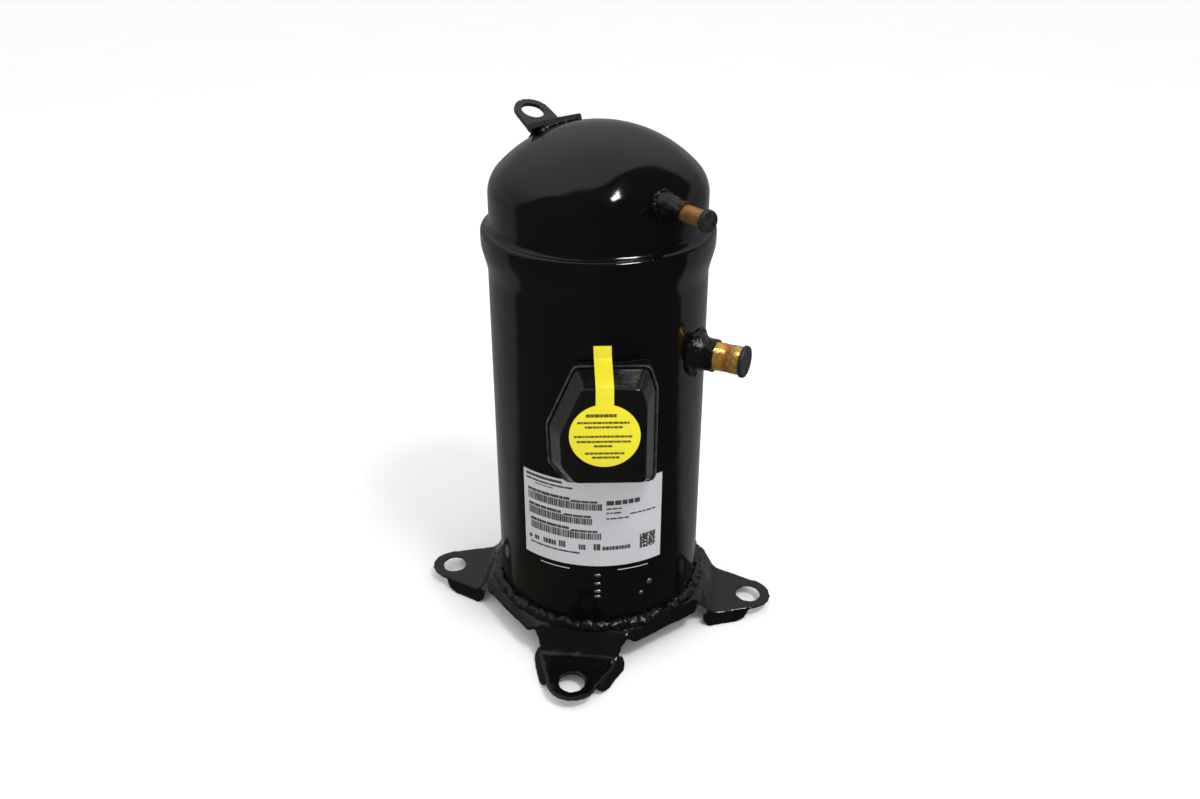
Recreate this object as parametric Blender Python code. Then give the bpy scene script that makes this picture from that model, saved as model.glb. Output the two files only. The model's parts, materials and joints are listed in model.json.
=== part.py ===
"""Hermetic scroll compressor, upright on a stamped four-foot mounting plate.

Frame: metres, +Z up, origin on the shell's axis at floor level. The feet point along +X, +Y, -X and -Y.
The terminal box faces just right of the -Y foot. Heights are above the floor, azimuths are from +X.
Side features are drawn with their own X pointing out of the shell and then turned to their azimuth.
"""

import math

import bmesh
import bpy
from mathutils import Matrix, Vector

# Clearances: between fixed neighbours, and between sliding faces
GAP = 0.0003
RUN = 0.0001

# Facets around large, middle and small round pieces
ROUND = 36
MIDDLE = 20
SMALL = 12

# Mounting plate
HOLE_SQUARE = 0.1905
HOLE_CIRCLE = HOLE_SQUARE / math.sqrt(2)
FOOT_HOLE_R = 0.00975
FOOT_TOP_Z = 0.011
PLATE_T = 0.0026
RING_TOP_Z = 0.029
RING_SIDES = 8
RING_FLAT = 0.0885
RING_CREASE = 0.106
PLATE_EDGE = 0.097
EAR_LENGTH = 0.0203
EAR_HALF_WIDTH = 0.0210
FLANGE_SPLAY = 0.0045

# Shell, bell and caps
WALL = 0.003
SHELL_R = 0.0862
BORE_R = SHELL_R - WALL
BELL_R = 0.091
FLARE_LOW_Z = 0.316
FLARE_HIGH_Z = 0.338
BELL_TOP_Z = 0.351
CAP_R = 0.0842
CAP_LOW_Z = 0.343
DOME_Z = 0.375
CROWN_R = 0.105
KNUCKLE_R = 0.0277
SUMP_R = BORE_R - GAP
SUMP_RIM_Z = 0.053
SUMP_Z = 0.025
SUMP_DEPTH = 0.021
MUFFLER_Z = 0.339
MUFFLER_T = 0.0035

# Side features: azimuth and height of each
SUCTION_AZ = math.radians(-18)
SUCTION_Z = 0.2582
SUCTION_TUBE_R = 0.0111
DISCHARGE_AZ = math.radians(-42.9)
DISCHARGE_Z = 0.3829
DISCHARGE_TUBE_R = 0.00635
TUBE_WALL = 0.0008
SUCTION_NECK_END = 0.1023
SUCTION_TUBE_END = 0.1226
SUCTION_PLUG_END = 0.1265
DISCHARGE_NECK_END = 0.0985
DISCHARGE_TUBE_END = 0.1175
DISCHARGE_PLUG_END = 0.1222
BOX_AZ = math.radians(-79.6)
TERMINAL_Z = 0.231
TERMINAL_R = 0.016
PIN_CIRCLE = 0.008
LABEL_START = math.radians(-124.4)
LABEL_END = math.radians(-44.4)
LABEL_LOW_Z = 0.089
LABEL_HIGH_Z = 0.169
EAR_AZ = math.radians(136)
LIFT_HOLE_REACH = 0.0665
LIFT_HOLE_SIDE = 0.0135
LIFT_HOLE_Z = 0.4261
LIFT_TILT = math.radians(24.3)
LIFT_HOLE_R = 0.0091
LIFT_HALF_WIDTH = 0.0148
LIFT_T = 0.0035
STRAP_REACH = 0.0435
STRAP_SIDE = 0.0088
STRAP_WIDTH = 0.0135
STRAP_LENGTH = 0.043
STRAP_T = 0.005

# Terminal box: rim outline as (sideways, height) corners, seen from the front
FENCE_CORNERS = (
    (-0.0405, 0.191),
    (-0.027, 0.172),
    (0.0422, 0.172),
    (0.0422, 0.253),
    (0.0363, 0.2720),
    (-0.0205, 0.2720),
    (-0.0415, 0.224),
)
FENCE_T = 0.0016
FENCE_FRONT = 0.091
COVER_FRONT = 0.112
COVER_T = 0.002
TAG_T = 0.0005
TAG_DISC_R = 0.0270
TAG_SIDEWAYS = 0.0016
TAG_LEAN = 0.0015
TAG_DISC_Z = 0.2255
TAG_STRIP_HALF = 0.0071

# Scroll set
PITCH = 0.017
WRAP_T = 0.0036
ORBIT = PITCH / 2 - WRAP_T - GAP
BASE_CIRCLE = PITCH / (2 * math.pi)
STEPS_PER_TURN = 24
WRAP_FIRST_STEP = 13
WRAP_LAST_STEP = 69
SCROLL_FACE_Z = 0.279
WRAP_TIP_Z = 0.309
FIXED_TOP_Z = 0.325
FIXED_R = 0.066
CAVITY_R = 0.0575
ORBITING_R = 0.064
ORBITING_LOW_Z = 0.2686

# Main bearing housing and what runs in it
ARM_AZIMUTHS = [math.radians(20 + 90 * k) for k in range(4)]
ARM_HALF_ANGLE = math.radians(9)
ARM_R = 0.0827
BOLT_CIRCLE = 0.0765
BOLT_R = 0.003
HOUSING_R = 0.0705
HOUSING_LOW_Z = 0.247
RECESS_Z = 0.2594
PAD_R = 0.0488
PAD_Z = 0.2655
RING_OUTER_R = 0.063
RING_INNER_R = 0.054
KEY_CIRCLE = 0.0585
KEY_LENGTH = 0.008
KEY_WIDTH = 0.009
KEY_REACH = 0.0044

# Valves in the muffler plate
RELIEF_AZ = math.radians(65)
CHECK_SEAT_R = 0.014

# Suction baffle, in degrees round the shell
BAFFLE_HALF_ANGLE = 16
BAFFLE_LEG_ANGLE = 1.2

# Motor and shaft
JOURNAL_R = 0.015
SHAFT_R = 0.013
LOWER_JOURNAL_R = 0.0095
PIN_R = 0.009
STACK_LOW_Z = 0.103
STACK_HIGH_Z = 0.194
ROTOR_R = 0.0435
STATOR_BORE_R = 0.0441
WINDING_INNER_R = 0.050
WINDING_OUTER_R = 0.074
WINDING_HEIGHT = 0.029

# Finishes: base colour, roughness, metallic
FINISHES = {
    "black_paint": ((0.010, 0.010, 0.011), 0.20, 0.0),
    "black_plastic": ((0.014, 0.014, 0.015), 0.38, 0.0),
    "black_rubber": ((0.022, 0.022, 0.024), 0.75, 0.0),
    "brassy_copper": ((0.62, 0.34, 0.09), 0.30, 1.0),
    "copper": ((0.72, 0.34, 0.18), 0.35, 1.0),
    "silver_label": ((0.52, 0.54, 0.57), 0.40, 0.0),
    "yellow_tag": ((0.90, 0.80, 0.04), 0.45, 0.0),
    "cast_iron": ((0.16, 0.16, 0.17), 0.60, 1.0),
    "machined_steel": ((0.45, 0.46, 0.48), 0.30, 1.0),
    "aluminium": ((0.62, 0.63, 0.65), 0.40, 1.0),
    "lamination_steel": ((0.28, 0.29, 0.31), 0.45, 1.0),
    "enamelled_copper": ((0.42, 0.14, 0.05), 0.40, 0.6),
    "brass": ((0.60, 0.46, 0.20), 0.35, 1.0),
    "white_plastic": ((0.62, 0.61, 0.57), 0.50, 0.0),
}


def clear_scene():
    for obj in list(bpy.data.objects):
        bpy.data.objects.remove(obj, do_unlink=True)


def finish(name):
    """The material of that name, made on first use."""
    if name in bpy.data.materials:
        return bpy.data.materials[name]
    colour, roughness, metallic = FINISHES[name]
    material = bpy.data.materials.new(name)
    material.use_nodes = True
    shader = material.node_tree.nodes["Principled BSDF"]
    shader.inputs["Base Color"].default_value = (*colour, 1.0)
    shader.inputs["Roughness"].default_value = roughness
    shader.inputs["Metallic"].default_value = metallic
    return material


def piece(name, bm, finish_name, location=(0, 0, 0), rotation=(0, 0, 0)):
    """Turns a finished bmesh into a named, shaded object."""
    bmesh.ops.recalc_face_normals(bm, faces=bm.faces)
    mesh = bpy.data.meshes.new(name)
    bm.to_mesh(mesh)
    bm.free()
    mesh.shade_smooth()
    mesh.set_sharp_from_angle(angle=math.radians(35))
    mesh.materials.append(finish(finish_name))
    obj = bpy.data.objects.new(name, mesh)
    obj.location = location
    obj.rotation_euler = rotation
    bpy.context.scene.collection.objects.link(obj)
    return obj


def helper(name, bm, location=(0, 0, 0), rotation=(0, 0, 0)):
    """A hidden solid that another piece is cut by or joined with."""
    obj = piece(name, bm, "machined_steel", location, rotation)
    obj.hide_render = True
    obj.display_type = "WIRE"
    return obj


def combine(target, tool, operation):
    modifier = target.modifiers.new(tool.name, "BOOLEAN")
    modifier.operation = operation
    modifier.object = tool
    modifier.solver = "EXACT"


def cut(target, tool):
    combine(target, tool, "DIFFERENCE")


def join(target, tool):
    combine(target, tool, "UNION")


def keep_common(target, tool):
    combine(target, tool, "INTERSECT")


def arc(centre_u, centre_v, radius, start, end, steps):
    """Points of an arc, both ends included; angles in degrees."""
    angles = [math.radians(start + (end - start) * k / steps) for k in range(steps + 1)]
    return [(centre_u + radius * math.cos(a), centre_v + radius * math.sin(a)) for a in angles]


def polar(radius, angle):
    return (radius * math.cos(angle), radius * math.sin(angle))


def rounded(corners, radius, steps=2):
    """A convex outline with each corner replaced by an arc that is tangent to both sides."""
    outline = []
    count = len(corners)
    for k in range(count):
        corner = Vector(corners[k])
        before = (Vector(corners[k - 1]) - corner).normalized()
        after = (Vector(corners[(k + 1) % count]) - corner).normalized()
        half = before.angle(after) / 2
        centre = corner + (before + after).normalized() * (radius / math.sin(half))
        first = (corner + before * (radius / math.tan(half)) - centre).normalized()
        last = (corner + after * (radius / math.tan(half)) - centre).normalized()
        for s in range(steps + 1):
            outline.append(tuple(centre + first.slerp(last, s / steps) * radius))
    return outline


def inset(corners, distance):
    """A convex outline, listed anticlockwise, with every side moved inwards by distance."""
    count = len(corners)
    moved = []
    for k in range(count):
        start = Vector(corners[k])
        along = (Vector(corners[(k + 1) % count]) - start).normalized()
        moved.append((start + Vector((-along.y, along.x)) * distance, along))
    result = []
    for k in range(count):
        (p, u), (q, v) = moved[k - 1], moved[k]
        reach = (q - p).cross(v) / u.cross(v)
        result.append(tuple(p + u * reach))
    return result


def turned(profile, segments=ROUND):
    """A closed outline of (radius, height) points turned all the way round the Z axis."""
    bm = bmesh.new()
    corners = [bm.verts.new((r, 0, z)) for r, z in profile]
    edges = [bm.edges.new((corners[k - 1], corners[k])) for k in range(len(corners))]
    bmesh.ops.spin(
        bm, geom=corners + edges, cent=(0, 0, 0), axis=(0, 0, 1), angle=2 * math.pi, steps=segments
    )
    bmesh.ops.remove_doubles(bm, verts=bm.verts, dist=1e-6)
    return bm


def sector(profile, start, end, steps):
    """The same outline turned from one azimuth to another, with both ends capped."""
    bm = bmesh.new()
    face = bm.faces.new([bm.verts.new((r, 0, z)) for r, z in profile])
    bmesh.ops.rotate(bm, verts=bm.verts, cent=(0, 0, 0), matrix=Matrix.Rotation(start, 3, "Z"))
    bmesh.ops.spin(
        bm, geom=[face], cent=(0, 0, 0), axis=(0, 0, 1), angle=end - start, steps=steps
    )
    return bm


def slab(outline, low, high):
    """A flat (x, y) outline extruded from one height to another."""
    bm = bmesh.new()
    face = bm.faces.new([bm.verts.new((x, y, low)) for x, y in outline])
    grown = bmesh.ops.extrude_face_region(bm, geom=[face])
    top = [item for item in grown["geom"] if isinstance(item, bmesh.types.BMVert)]
    bmesh.ops.translate(bm, verts=top, vec=(0, 0, high - low))
    return bm


def side_slab(outline, half_width):
    """A flat (x, z) outline extruded to both sides along Y."""
    bm = slab(outline, -half_width, half_width)
    bmesh.ops.rotate(bm, verts=bm.verts, cent=(0, 0, 0), matrix=Matrix.Rotation(math.pi / 2, 3, "X"))
    return bm


def rod(radius, low, high, segments=SMALL):
    return turned([(0, low), (radius, low), (radius, high), (0, high)], segments)


def tube(inner, outer, low, high, segments=MIDDLE):
    return turned([(inner, low), (outer, low), (outer, high), (inner, high)], segments)


def box(x_range, y_range, low, high):
    (x0, x1), (y0, y1) = x_range, y_range
    return slab([(x0, y0), (x1, y0), (x1, y1), (x0, y1)], low, high)


def radial(azimuth, height, sideways=0.0):
    """Location and rotation that turn a piece's own Z axis to point out of the shell."""
    location = (-sideways * math.sin(azimuth), sideways * math.cos(azimuth), height)
    return {"location": location, "rotation": (0, math.pi / 2, azimuth)}


# ---------------------------------------------------------------- mounting plate and shell


def plate_outline():
    """Plan of the plate: four rounded ears, each joined to the next by a straight edge."""
    half = []
    for degrees in (90, 68, 45, 22, 0):
        angle = math.radians(degrees)
        half.append((HOLE_CIRCLE + EAR_LENGTH * math.cos(angle), EAR_HALF_WIDTH * math.sin(angle)))
    root = PLATE_EDGE * math.sqrt(2)
    side = [(root - 0.0450, 0.0450), (0.0925, 0.0405), (0.0965, 0.0362), (0.1100, 0.0310)]
    foot = side + half
    foot = foot + [(x, -y) for x, y in reversed(foot[:-1])]
    outline = []
    for k in range(4):
        turn = Matrix.Rotation(math.pi / 2 * k, 2)
        outline += [tuple(turn @ Vector(p)) for p in reversed(foot)]
    return outline


def stamped_sheet():
    """Eight-sided dish: raised platform round the shell, ramp on every side, flat beyond it."""
    steps = 4
    widths = [(0.060, RING_TOP_Z)]
    for k in range(steps + 1):
        t = k / steps
        eased = t * t * (3 - 2 * t)
        width = RING_FLAT + (RING_CREASE - RING_FLAT) * t
        widths.append((width, RING_TOP_Z - (RING_TOP_Z - FOOT_TOP_Z) * eased))
    widths.append((0.175, FOOT_TOP_Z))
    half_side = math.pi / RING_SIDES
    top = [(width / math.cos(half_side), z) for width, z in widths]
    bm = turned(top + [(r, z - PLATE_T) for r, z in reversed(top)], RING_SIDES)
    turn = Matrix.Rotation(half_side, 3, "Z")
    bmesh.ops.rotate(bm, verts=bm.verts, cent=(0, 0, 0), matrix=turn)
    return bm


def side_flange(side):
    """One bent-down wall along a foot's edge, its outer lower corner cut back."""
    inner_end = Vector((0.0970, side * 0.0362, FOOT_TOP_Z - 0.0006))
    outer_end = Vector((0.1358, side * 0.0208, FOOT_TOP_Z - 0.0006))
    along = (outer_end - inner_end).normalized()
    outwards = Vector((-along.y, along.x, 0)) * side
    length = (outer_end - inner_end).length
    drop = inner_end.z
    bm = bmesh.new()
    edge = [(0, 0), (length, 0), (length, 0.45), (length - 0.004, 0.85), (length - 0.010, 1)]
    edge += [(0.004, 1), (0, 0.6)]
    corners = []
    for reach, down in edge:
        spot = inner_end + along * reach + outwards * (FLANGE_SPLAY * down)
        spot.z -= drop * down
        corners.append(bm.verts.new(spot))
    face = bm.faces.new(corners)
    grown = bmesh.ops.extrude_face_region(bm, geom=[face])
    moved = [item for item in grown["geom"] if isinstance(item, bmesh.types.BMVert)]
    bmesh.ops.translate(bm, verts=moved, vec=-outwards * PLATE_T)
    return bm


def build_mounting_plate():
    plate = piece("mounting_plate", stamped_sheet(), "black_paint")
    keep_common(plate, helper("plate_plan", slab(plate_outline(), -0.010, 0.050)))
    cut(plate, helper("plate_bore", rod(BORE_R + RUN, 0.0, 0.050, ROUND)))
    for k in range(4):
        turn = math.pi / 2 * k
        for side in (-1, 1):
            wall = helper(f"flange_{k}_{side}", side_flange(side), rotation=(0, 0, turn))
            join(plate, wall)
    for k in range(4):
        x, y = polar(HOLE_CIRCLE, math.pi / 2 * k)
        cut(plate, helper(f"foot_hole_{k}", rod(FOOT_HOLE_R, 0.001, 0.021, MIDDLE), (x, y, 0)))
    tab = box((PLATE_EDGE - 0.0042, PLATE_EDGE - 0.0008), (-0.026, -0.018), 0.012, 0.0245)
    join(plate, helper("edge_tab", tab, rotation=(0, 0, math.radians(45))))


def build_bottom_cap():
    steps = 5
    outer = [(SUMP_R, SUMP_RIM_Z)]
    inner = [(SUMP_R - WALL, SUMP_RIM_Z)]
    for k in range(steps + 1):
        angle = math.pi / 2 * k / steps
        across, down = math.cos(angle), math.sin(angle)
        outer.append((SUMP_R * across, SUMP_Z - SUMP_DEPTH * down))
        inner.append(((SUMP_R - WALL) * across, SUMP_Z - (SUMP_DEPTH - WALL) * down))
    piece("bottom_cap", turned(outer + inner[::-1]), "black_paint")
    magnet_z = SUMP_Z - SUMP_DEPTH + WALL + 0.0008
    piece("sump_magnet", rod(0.011, magnet_z, magnet_z + 0.005), "cast_iron")


def shell_round(radius):
    """A tall solid whose facets line up with the shell's."""
    return turned([(0, 0.021), (radius, 0.021), (radius, 0.336), (0, 0.336)])


def flare(low_radius, high_radius, low, high):
    points = []
    steps = 3
    for k in range(steps + 1):
        t = k / steps
        eased = t * t * (3 - 2 * t)
        points.append((low_radius + (high_radius - low_radius) * eased, low + (high - low) * t))
    return points


def build_centre_shell():
    low = RING_TOP_Z + GAP
    outer = [(SHELL_R, low)] + flare(SHELL_R, BELL_R, FLARE_LOW_Z, FLARE_HIGH_Z)
    outer.append((BELL_R, BELL_TOP_Z))
    inner = [(BORE_R, low)] + flare(BORE_R, BELL_R - WALL, FLARE_LOW_Z + 0.001, FLARE_HIGH_Z)
    inner.append((BELL_R - WALL, BELL_TOP_Z))
    shell = piece("centre_shell", turned(outer + inner[::-1]), "black_paint")
    opening = rod(SUCTION_TUBE_R + GAP, 0.070, 0.100, MIDDLE)
    cut(shell, helper("suction_opening", opening, **radial(SUCTION_AZ, SUCTION_Z)))
    opening = rod(TERMINAL_R + GAP, 0.070, 0.100, MIDDLE)
    cut(shell, helper("terminal_opening", opening, **radial(BOX_AZ, TERMINAL_Z)))


def dome_outline(offset, low):
    """Outside of the top cap moved outwards by offset: skirt, knuckle, crown, down to the axis."""
    knuckle_centre = CAP_R - KNUCKLE_R
    drop = math.sqrt((CROWN_R - KNUCKLE_R) ** 2 - knuckle_centre**2)
    meet = math.degrees(math.atan2(drop, knuckle_centre))
    skirt = [(CAP_R + offset, low)]
    knuckle = arc(knuckle_centre, DOME_Z, KNUCKLE_R + offset, 0, meet, 3)
    crown = arc(0, DOME_Z - drop, CROWN_R + offset, meet, 90, 5)
    return skirt + knuckle + crown[1:-1] + [(0, DOME_Z - drop + CROWN_R + offset)]


def crown_centre_z():
    return DOME_Z - math.sqrt((CROWN_R - KNUCKLE_R) ** 2 - (CAP_R - KNUCKLE_R) ** 2)


def build_top_cap():
    outline = dome_outline(0, CAP_LOW_Z) + dome_outline(-WALL, CAP_LOW_Z)[::-1]
    cap = piece("top_cap", turned(outline), "black_paint")
    opening = rod(DISCHARGE_TUBE_R + GAP, 0.060, 0.100)
    cut(cap, helper("discharge_opening", opening, **radial(DISCHARGE_AZ, DISCHARGE_Z)))


def build_muffler_plate():
    outer = BELL_R - WALL - GAP
    rim = CAP_R + GAP
    top = MUFFLER_Z + MUFFLER_T
    profile = [
        (0.011, MUFFLER_Z),
        (outer, MUFFLER_Z),
        (outer, BELL_TOP_Z - GAP),
        (rim, BELL_TOP_Z - GAP),
        (rim, top),
        (0.011, top),
    ]
    plate = piece("muffler_plate", turned(profile), "machined_steel")
    x, y = polar(0.060, RELIEF_AZ)
    cut(plate, helper("relief_hole", rod(0.0035, 0.331, 0.351), (x, y, 0)))


def build_lifting_ear():
    """Bracket of two flats: a strap welded on the dome and a pierced tab rising outwards from it."""
    turn = Matrix.Rotation(EAR_AZ, 3, "Z")
    plan = [(-0.024, LIFT_HALF_WIDTH + 0.0012), (-0.024, -LIFT_HALF_WIDTH - 0.0012)]
    plan += arc(0, 0, LIFT_HALF_WIDTH, -90, 90, 10)
    spot = turn @ Vector((LIFT_HOLE_REACH, LIFT_HOLE_SIDE, LIFT_HOLE_Z))
    tilt = (0, -LIFT_TILT, EAR_AZ)
    ear = piece("lifting_ear", slab(plan, -LIFT_T, 0), "black_paint", spot, tilt)
    seat_r = CROWN_R + GAP
    seat_z = crown_centre_z() + math.sqrt(seat_r**2 - STRAP_REACH**2 - STRAP_SIDE**2)
    foot = turn @ Vector((STRAP_REACH, STRAP_SIDE, seat_z))
    lean = (0, math.asin(STRAP_REACH / seat_r), EAR_AZ)
    across, length = STRAP_WIDTH / 2, STRAP_LENGTH / 2
    join(ear, helper("ear_strap", box((-across, across), (-length, length), 0, STRAP_T), foot, lean))
    low = BELL_TOP_Z
    cut(ear, helper("ear_saddle", turned(dome_outline(GAP, low) + [(0, low)])))
    cut(ear, helper("ear_hole", rod(LIFT_HOLE_R, -0.010, 0.010, MIDDLE), spot, tilt))


# ---------------------------------------------------------------- suction and discharge stubs


def build_suction_stub():
    place = radial(SUCTION_AZ, SUCTION_Z)
    bore = SUCTION_TUBE_R + GAP
    neck = [(bore, 0.078), (0.0185, 0.078), (0.0185, 0.0845), (0.0150, 0.0890), (0.0128, 0.0935)]
    neck += [(0.0124, SUCTION_NECK_END), (bore, SUCTION_NECK_END)]
    fitting = piece("suction_fitting", turned(neck, MIDDLE), "black_paint", **place)
    cut(fitting, helper("suction_saddle", shell_round(SHELL_R + GAP)))
    inner = SUCTION_TUBE_R - TUBE_WALL
    barrel = tube(inner, SUCTION_TUBE_R, 0.0825, SUCTION_TUBE_END)
    piece("suction_tube", barrel, "brassy_copper", **place)
    stem = inner - GAP
    collar = SUCTION_TUBE_END + GAP
    plug = [(0, 0.1085), (stem - 0.001, 0.1085), (stem, 0.110), (stem, collar), (0.0118, collar)]
    plug += [(0.0125, collar + 0.0012), (0.0122, SUCTION_PLUG_END - 0.0008)]
    plug += [(0.0112, SUCTION_PLUG_END), (0, SUCTION_PLUG_END)]
    piece("suction_plug", turned(plug, MIDDLE), "black_rubber", **place)


def build_discharge_stub():
    place = radial(DISCHARGE_AZ, DISCHARGE_Z)
    bore = DISCHARGE_TUBE_R + GAP
    neck = [(bore, 0.070), (0.0105, 0.070), (0.0105, 0.0832), (0.0084, 0.0862)]
    neck += [(0.0080, DISCHARGE_NECK_END), (bore, DISCHARGE_NECK_END)]
    fitting = piece("discharge_fitting", turned(neck, MIDDLE), "black_paint", **place)
    low = BELL_TOP_Z - 0.010
    cut(fitting, helper("discharge_saddle", turned(dome_outline(GAP, low) + [(0, low)])))
    inner = DISCHARGE_TUBE_R - TUBE_WALL
    barrel = tube(inner, DISCHARGE_TUBE_R, 0.0745, DISCHARGE_TUBE_END)
    piece("discharge_tube", barrel, "copper", **place)
    stem = inner - GAP
    collar = DISCHARGE_TUBE_END + GAP
    plug = [(0, 0.105), (stem - 0.0008, 0.105), (stem, 0.106), (stem, collar), (0.0072, collar)]
    plug += [(0.0080, collar + 0.0010), (0.0079, DISCHARGE_PLUG_END - 0.0008)]
    plug += [(0.0071, DISCHARGE_PLUG_END)]
    piece("discharge_plug", turned(plug + [(0, DISCHARGE_PLUG_END)], MIDDLE), "black_rubber", **place)


# ---------------------------------------------------------------- terminal box, label and tag


def wall_ring(outer, inner, back, front):
    """A wall between two (sideways, height) outlines with equal counts of points."""
    bm = bmesh.new()
    loops = []
    for outline, depth in ((outer, back), (outer, front), (inner, front), (inner, back)):
        loops.append([bm.verts.new((depth, y, z)) for y, z in outline])
    count = len(outer)
    for a in range(4):
        first, second = loops[a], loops[(a + 1) % 4]
        for k in range(count):
            following = (k + 1) % count
            bm.faces.new((first[k], first[following], second[following], second[k]))
    return bm


def build_terminal_fence():
    outer = rounded(FENCE_CORNERS, 0.006)
    inner = rounded(inset(FENCE_CORNERS, FENCE_T), 0.0046)
    turn = (0, 0, BOX_AZ)
    wall = wall_ring(outer, inner, 0.060, FENCE_FRONT)
    fence = piece("terminal_fence", wall, "black_paint", rotation=turn)
    cut(fence, helper("fence_saddle", shell_round(SHELL_R + GAP)))


def tapered(outline, share):
    """The cover's outline part of the way to its smaller front face."""
    result = []
    for y, z in outline:
        front_y = 0.0012 + (y - 0.0005) * 0.80
        front_z = 0.2235 + (z - 0.222) * 0.82
        result.append((y + (front_y - y) * share, z + (front_z - z) * share))
    return result


def build_terminal_cover():
    rim = rounded(inset(FENCE_CORNERS, FENCE_T + 0.0005), 0.0042)
    depths = ((0.0885, 0), (0.0920, 0), (0.1085, 0.88), (0.1108, 0.96), (COVER_FRONT, 1.03))
    bm = bmesh.new()
    loops = [[bm.verts.new((x, y, z)) for y, z in tapered(rim, share)] for x, share in depths]
    for first, second in zip(loops, loops[1:]):
        for k in range(len(rim)):
            following = (k + 1) % len(rim)
            bm.faces.new((first[k], first[following], second[following], second[k]))
    bm.faces.new(loops[-1])
    cover = piece("terminal_cover", bm, "black_plastic", rotation=(0, 0, BOX_AZ))
    shell = cover.modifiers.new("wall", "SOLIDIFY")
    shell.thickness = COVER_T
    shell.offset = -1


def build_seal_tag():
    """Strip from the shell over the fence and down the cover's front, ending in a disc."""
    front = COVER_FRONT + GAP + TAG_T / 2
    path = [(0.0870, 0.2858), (0.0870, 0.2762), (0.0915, 0.2730), (0.1060, 0.2688), (front, 0.2648)]
    bm = bmesh.new()
    rows = []
    for k, (x, z) in enumerate(path):
        middle = TAG_SIDEWAYS - TAG_LEAN * (1 - k / (len(path) - 1))
        edges = (middle - TAG_STRIP_HALF, middle + TAG_STRIP_HALF)
        rows.append([bm.verts.new((x, y, z)) for y in edges])
    gap_angle = math.degrees(math.asin(TAG_STRIP_HALF / TAG_DISC_R))
    disc = arc(TAG_SIDEWAYS, TAG_DISC_Z, TAG_DISC_R, 90 + gap_angle, 450 - gap_angle, 24)
    rim = [bm.verts.new((front, y, z)) for y, z in disc]
    rows.append([rim[0], rim[-1]])
    for upper, lower in zip(rows, rows[1:]):
        bm.faces.new((upper[0], upper[1], lower[1], lower[0]))
    bm.faces.new(rim)
    tag = piece("seal_tag", bm, "yellow_tag", rotation=(0, 0, BOX_AZ))
    sheet = tag.modifiers.new("sheet", "SOLIDIFY")
    sheet.thickness = TAG_T
    sheet.offset = 0


def build_rating_label():
    inner = SHELL_R + GAP
    profile = [(inner, LABEL_LOW_Z), (inner + 0.0003, LABEL_LOW_Z)]
    profile += [(inner + 0.0003, LABEL_HIGH_Z), (inner, LABEL_HIGH_Z)]
    piece("rating_label", sector(profile, LABEL_START, LABEL_END, 16), "silver_label")


def pin_offsets():
    return [polar(PIN_CIRCLE, math.radians(90 + 120 * k)) for k in range(3)]


def build_terminal():
    """Steel cup in the shell, three pins through it, and the moulded plug on the pins."""
    place = radial(BOX_AZ, TERMINAL_Z)
    cup = [(0, 0.0815), (0.0135, 0.0815), (0.0135, 0.0800), (TERMINAL_R, 0.0800)]
    cup += [(TERMINAL_R, 0.0870), (0, 0.0870)]
    terminal = piece("hermetic_terminal", turned(cup, MIDDLE), "machined_steel", **place)
    block = [(0, 0.0885), (0.014, 0.0885), (0.014, 0.0965), (0.0125, 0.0985), (0, 0.0985)]
    plug = piece("terminal_plug", turned(block, MIDDLE), "black_plastic", **place)
    for k, (sideways, up) in enumerate(pin_offsets()):
        spot = radial(BOX_AZ, TERMINAL_Z + up, sideways)
        piece(f"terminal_pin_{k + 1}", rod(0.0016, 0.0765, 0.0960), "copper", **spot)
        socket = helper(f"pin_socket_{k + 1}", rod(0.0019, 0.070, 0.0964), **spot)
        cut(terminal, socket)
        cut(plug, socket)
    spot = radial(BOX_AZ, 0.191, 0.022)
    head = [(0, 0.0868), (0.006, 0.0868), (0.006, 0.0876), (0.0045, 0.0876), (0.0045, 0.0905)]
    piece("ground_screw", turned(head + [(0, 0.0905)], 6), "machined_steel", **spot)


def build_motor_leads():
    """Three insulated leads from the pins' inner ends down to the upper winding."""
    for k, (sideways, up) in enumerate(pin_offsets()):
        top = TERMINAL_Z + up
        curve = bpy.data.curves.new(f"motor_lead_{k + 1}", "CURVE")
        curve.dimensions = "3D"
        curve.bevel_depth = 0.0018
        curve.bevel_resolution = 1
        curve.resolution_u = 4
        curve.use_fill_caps = True
        spline = curve.splines.new("BEZIER")
        spline.bezier_points.add(1)
        reach = 0.0645
        bottom = STACK_HIGH_Z + GAP + WINDING_HEIGHT + 0.0003
        upper_end = ((0.0762, sideways, top), (-0.012, 0))
        lower_end = ((reach, sideways * 1.3, bottom), (0, -0.006))
        ends = (upper_end, lower_end)
        for point, (spot, (pull_x, pull_z)) in zip(spline.bezier_points, ends):
            point.co = spot
            pull = Vector((pull_x, 0, pull_z))
            point.handle_left = Vector(spot) - pull
            point.handle_right = Vector(spot) + pull
        curve.materials.append(finish("white_plastic"))
        lead = bpy.data.objects.new(f"motor_lead_{k + 1}", curve)
        lead.rotation_euler = (0, 0, BOX_AZ)
        bpy.context.scene.collection.objects.link(lead)


# ---------------------------------------------------------------- motor and shaft


def winding(low):
    """Rounded end-turn bundle of the stator winding."""
    middle = (WINDING_INNER_R + WINDING_OUTER_R) / 2
    half = (WINDING_OUTER_R - WINDING_INNER_R) / 2
    corner = 0.007
    profile = arc(middle + half - corner, low + corner, corner, -90, 0, 1)
    profile += arc(middle + half - corner, low + WINDING_HEIGHT - corner, corner, 0, 90, 1)
    profile += arc(middle - half + corner, low + WINDING_HEIGHT - corner, corner, 90, 180, 1)
    profile += arc(middle - half + corner, low + corner, corner, 180, 270, 1)
    return turned(profile, 24)


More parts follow.
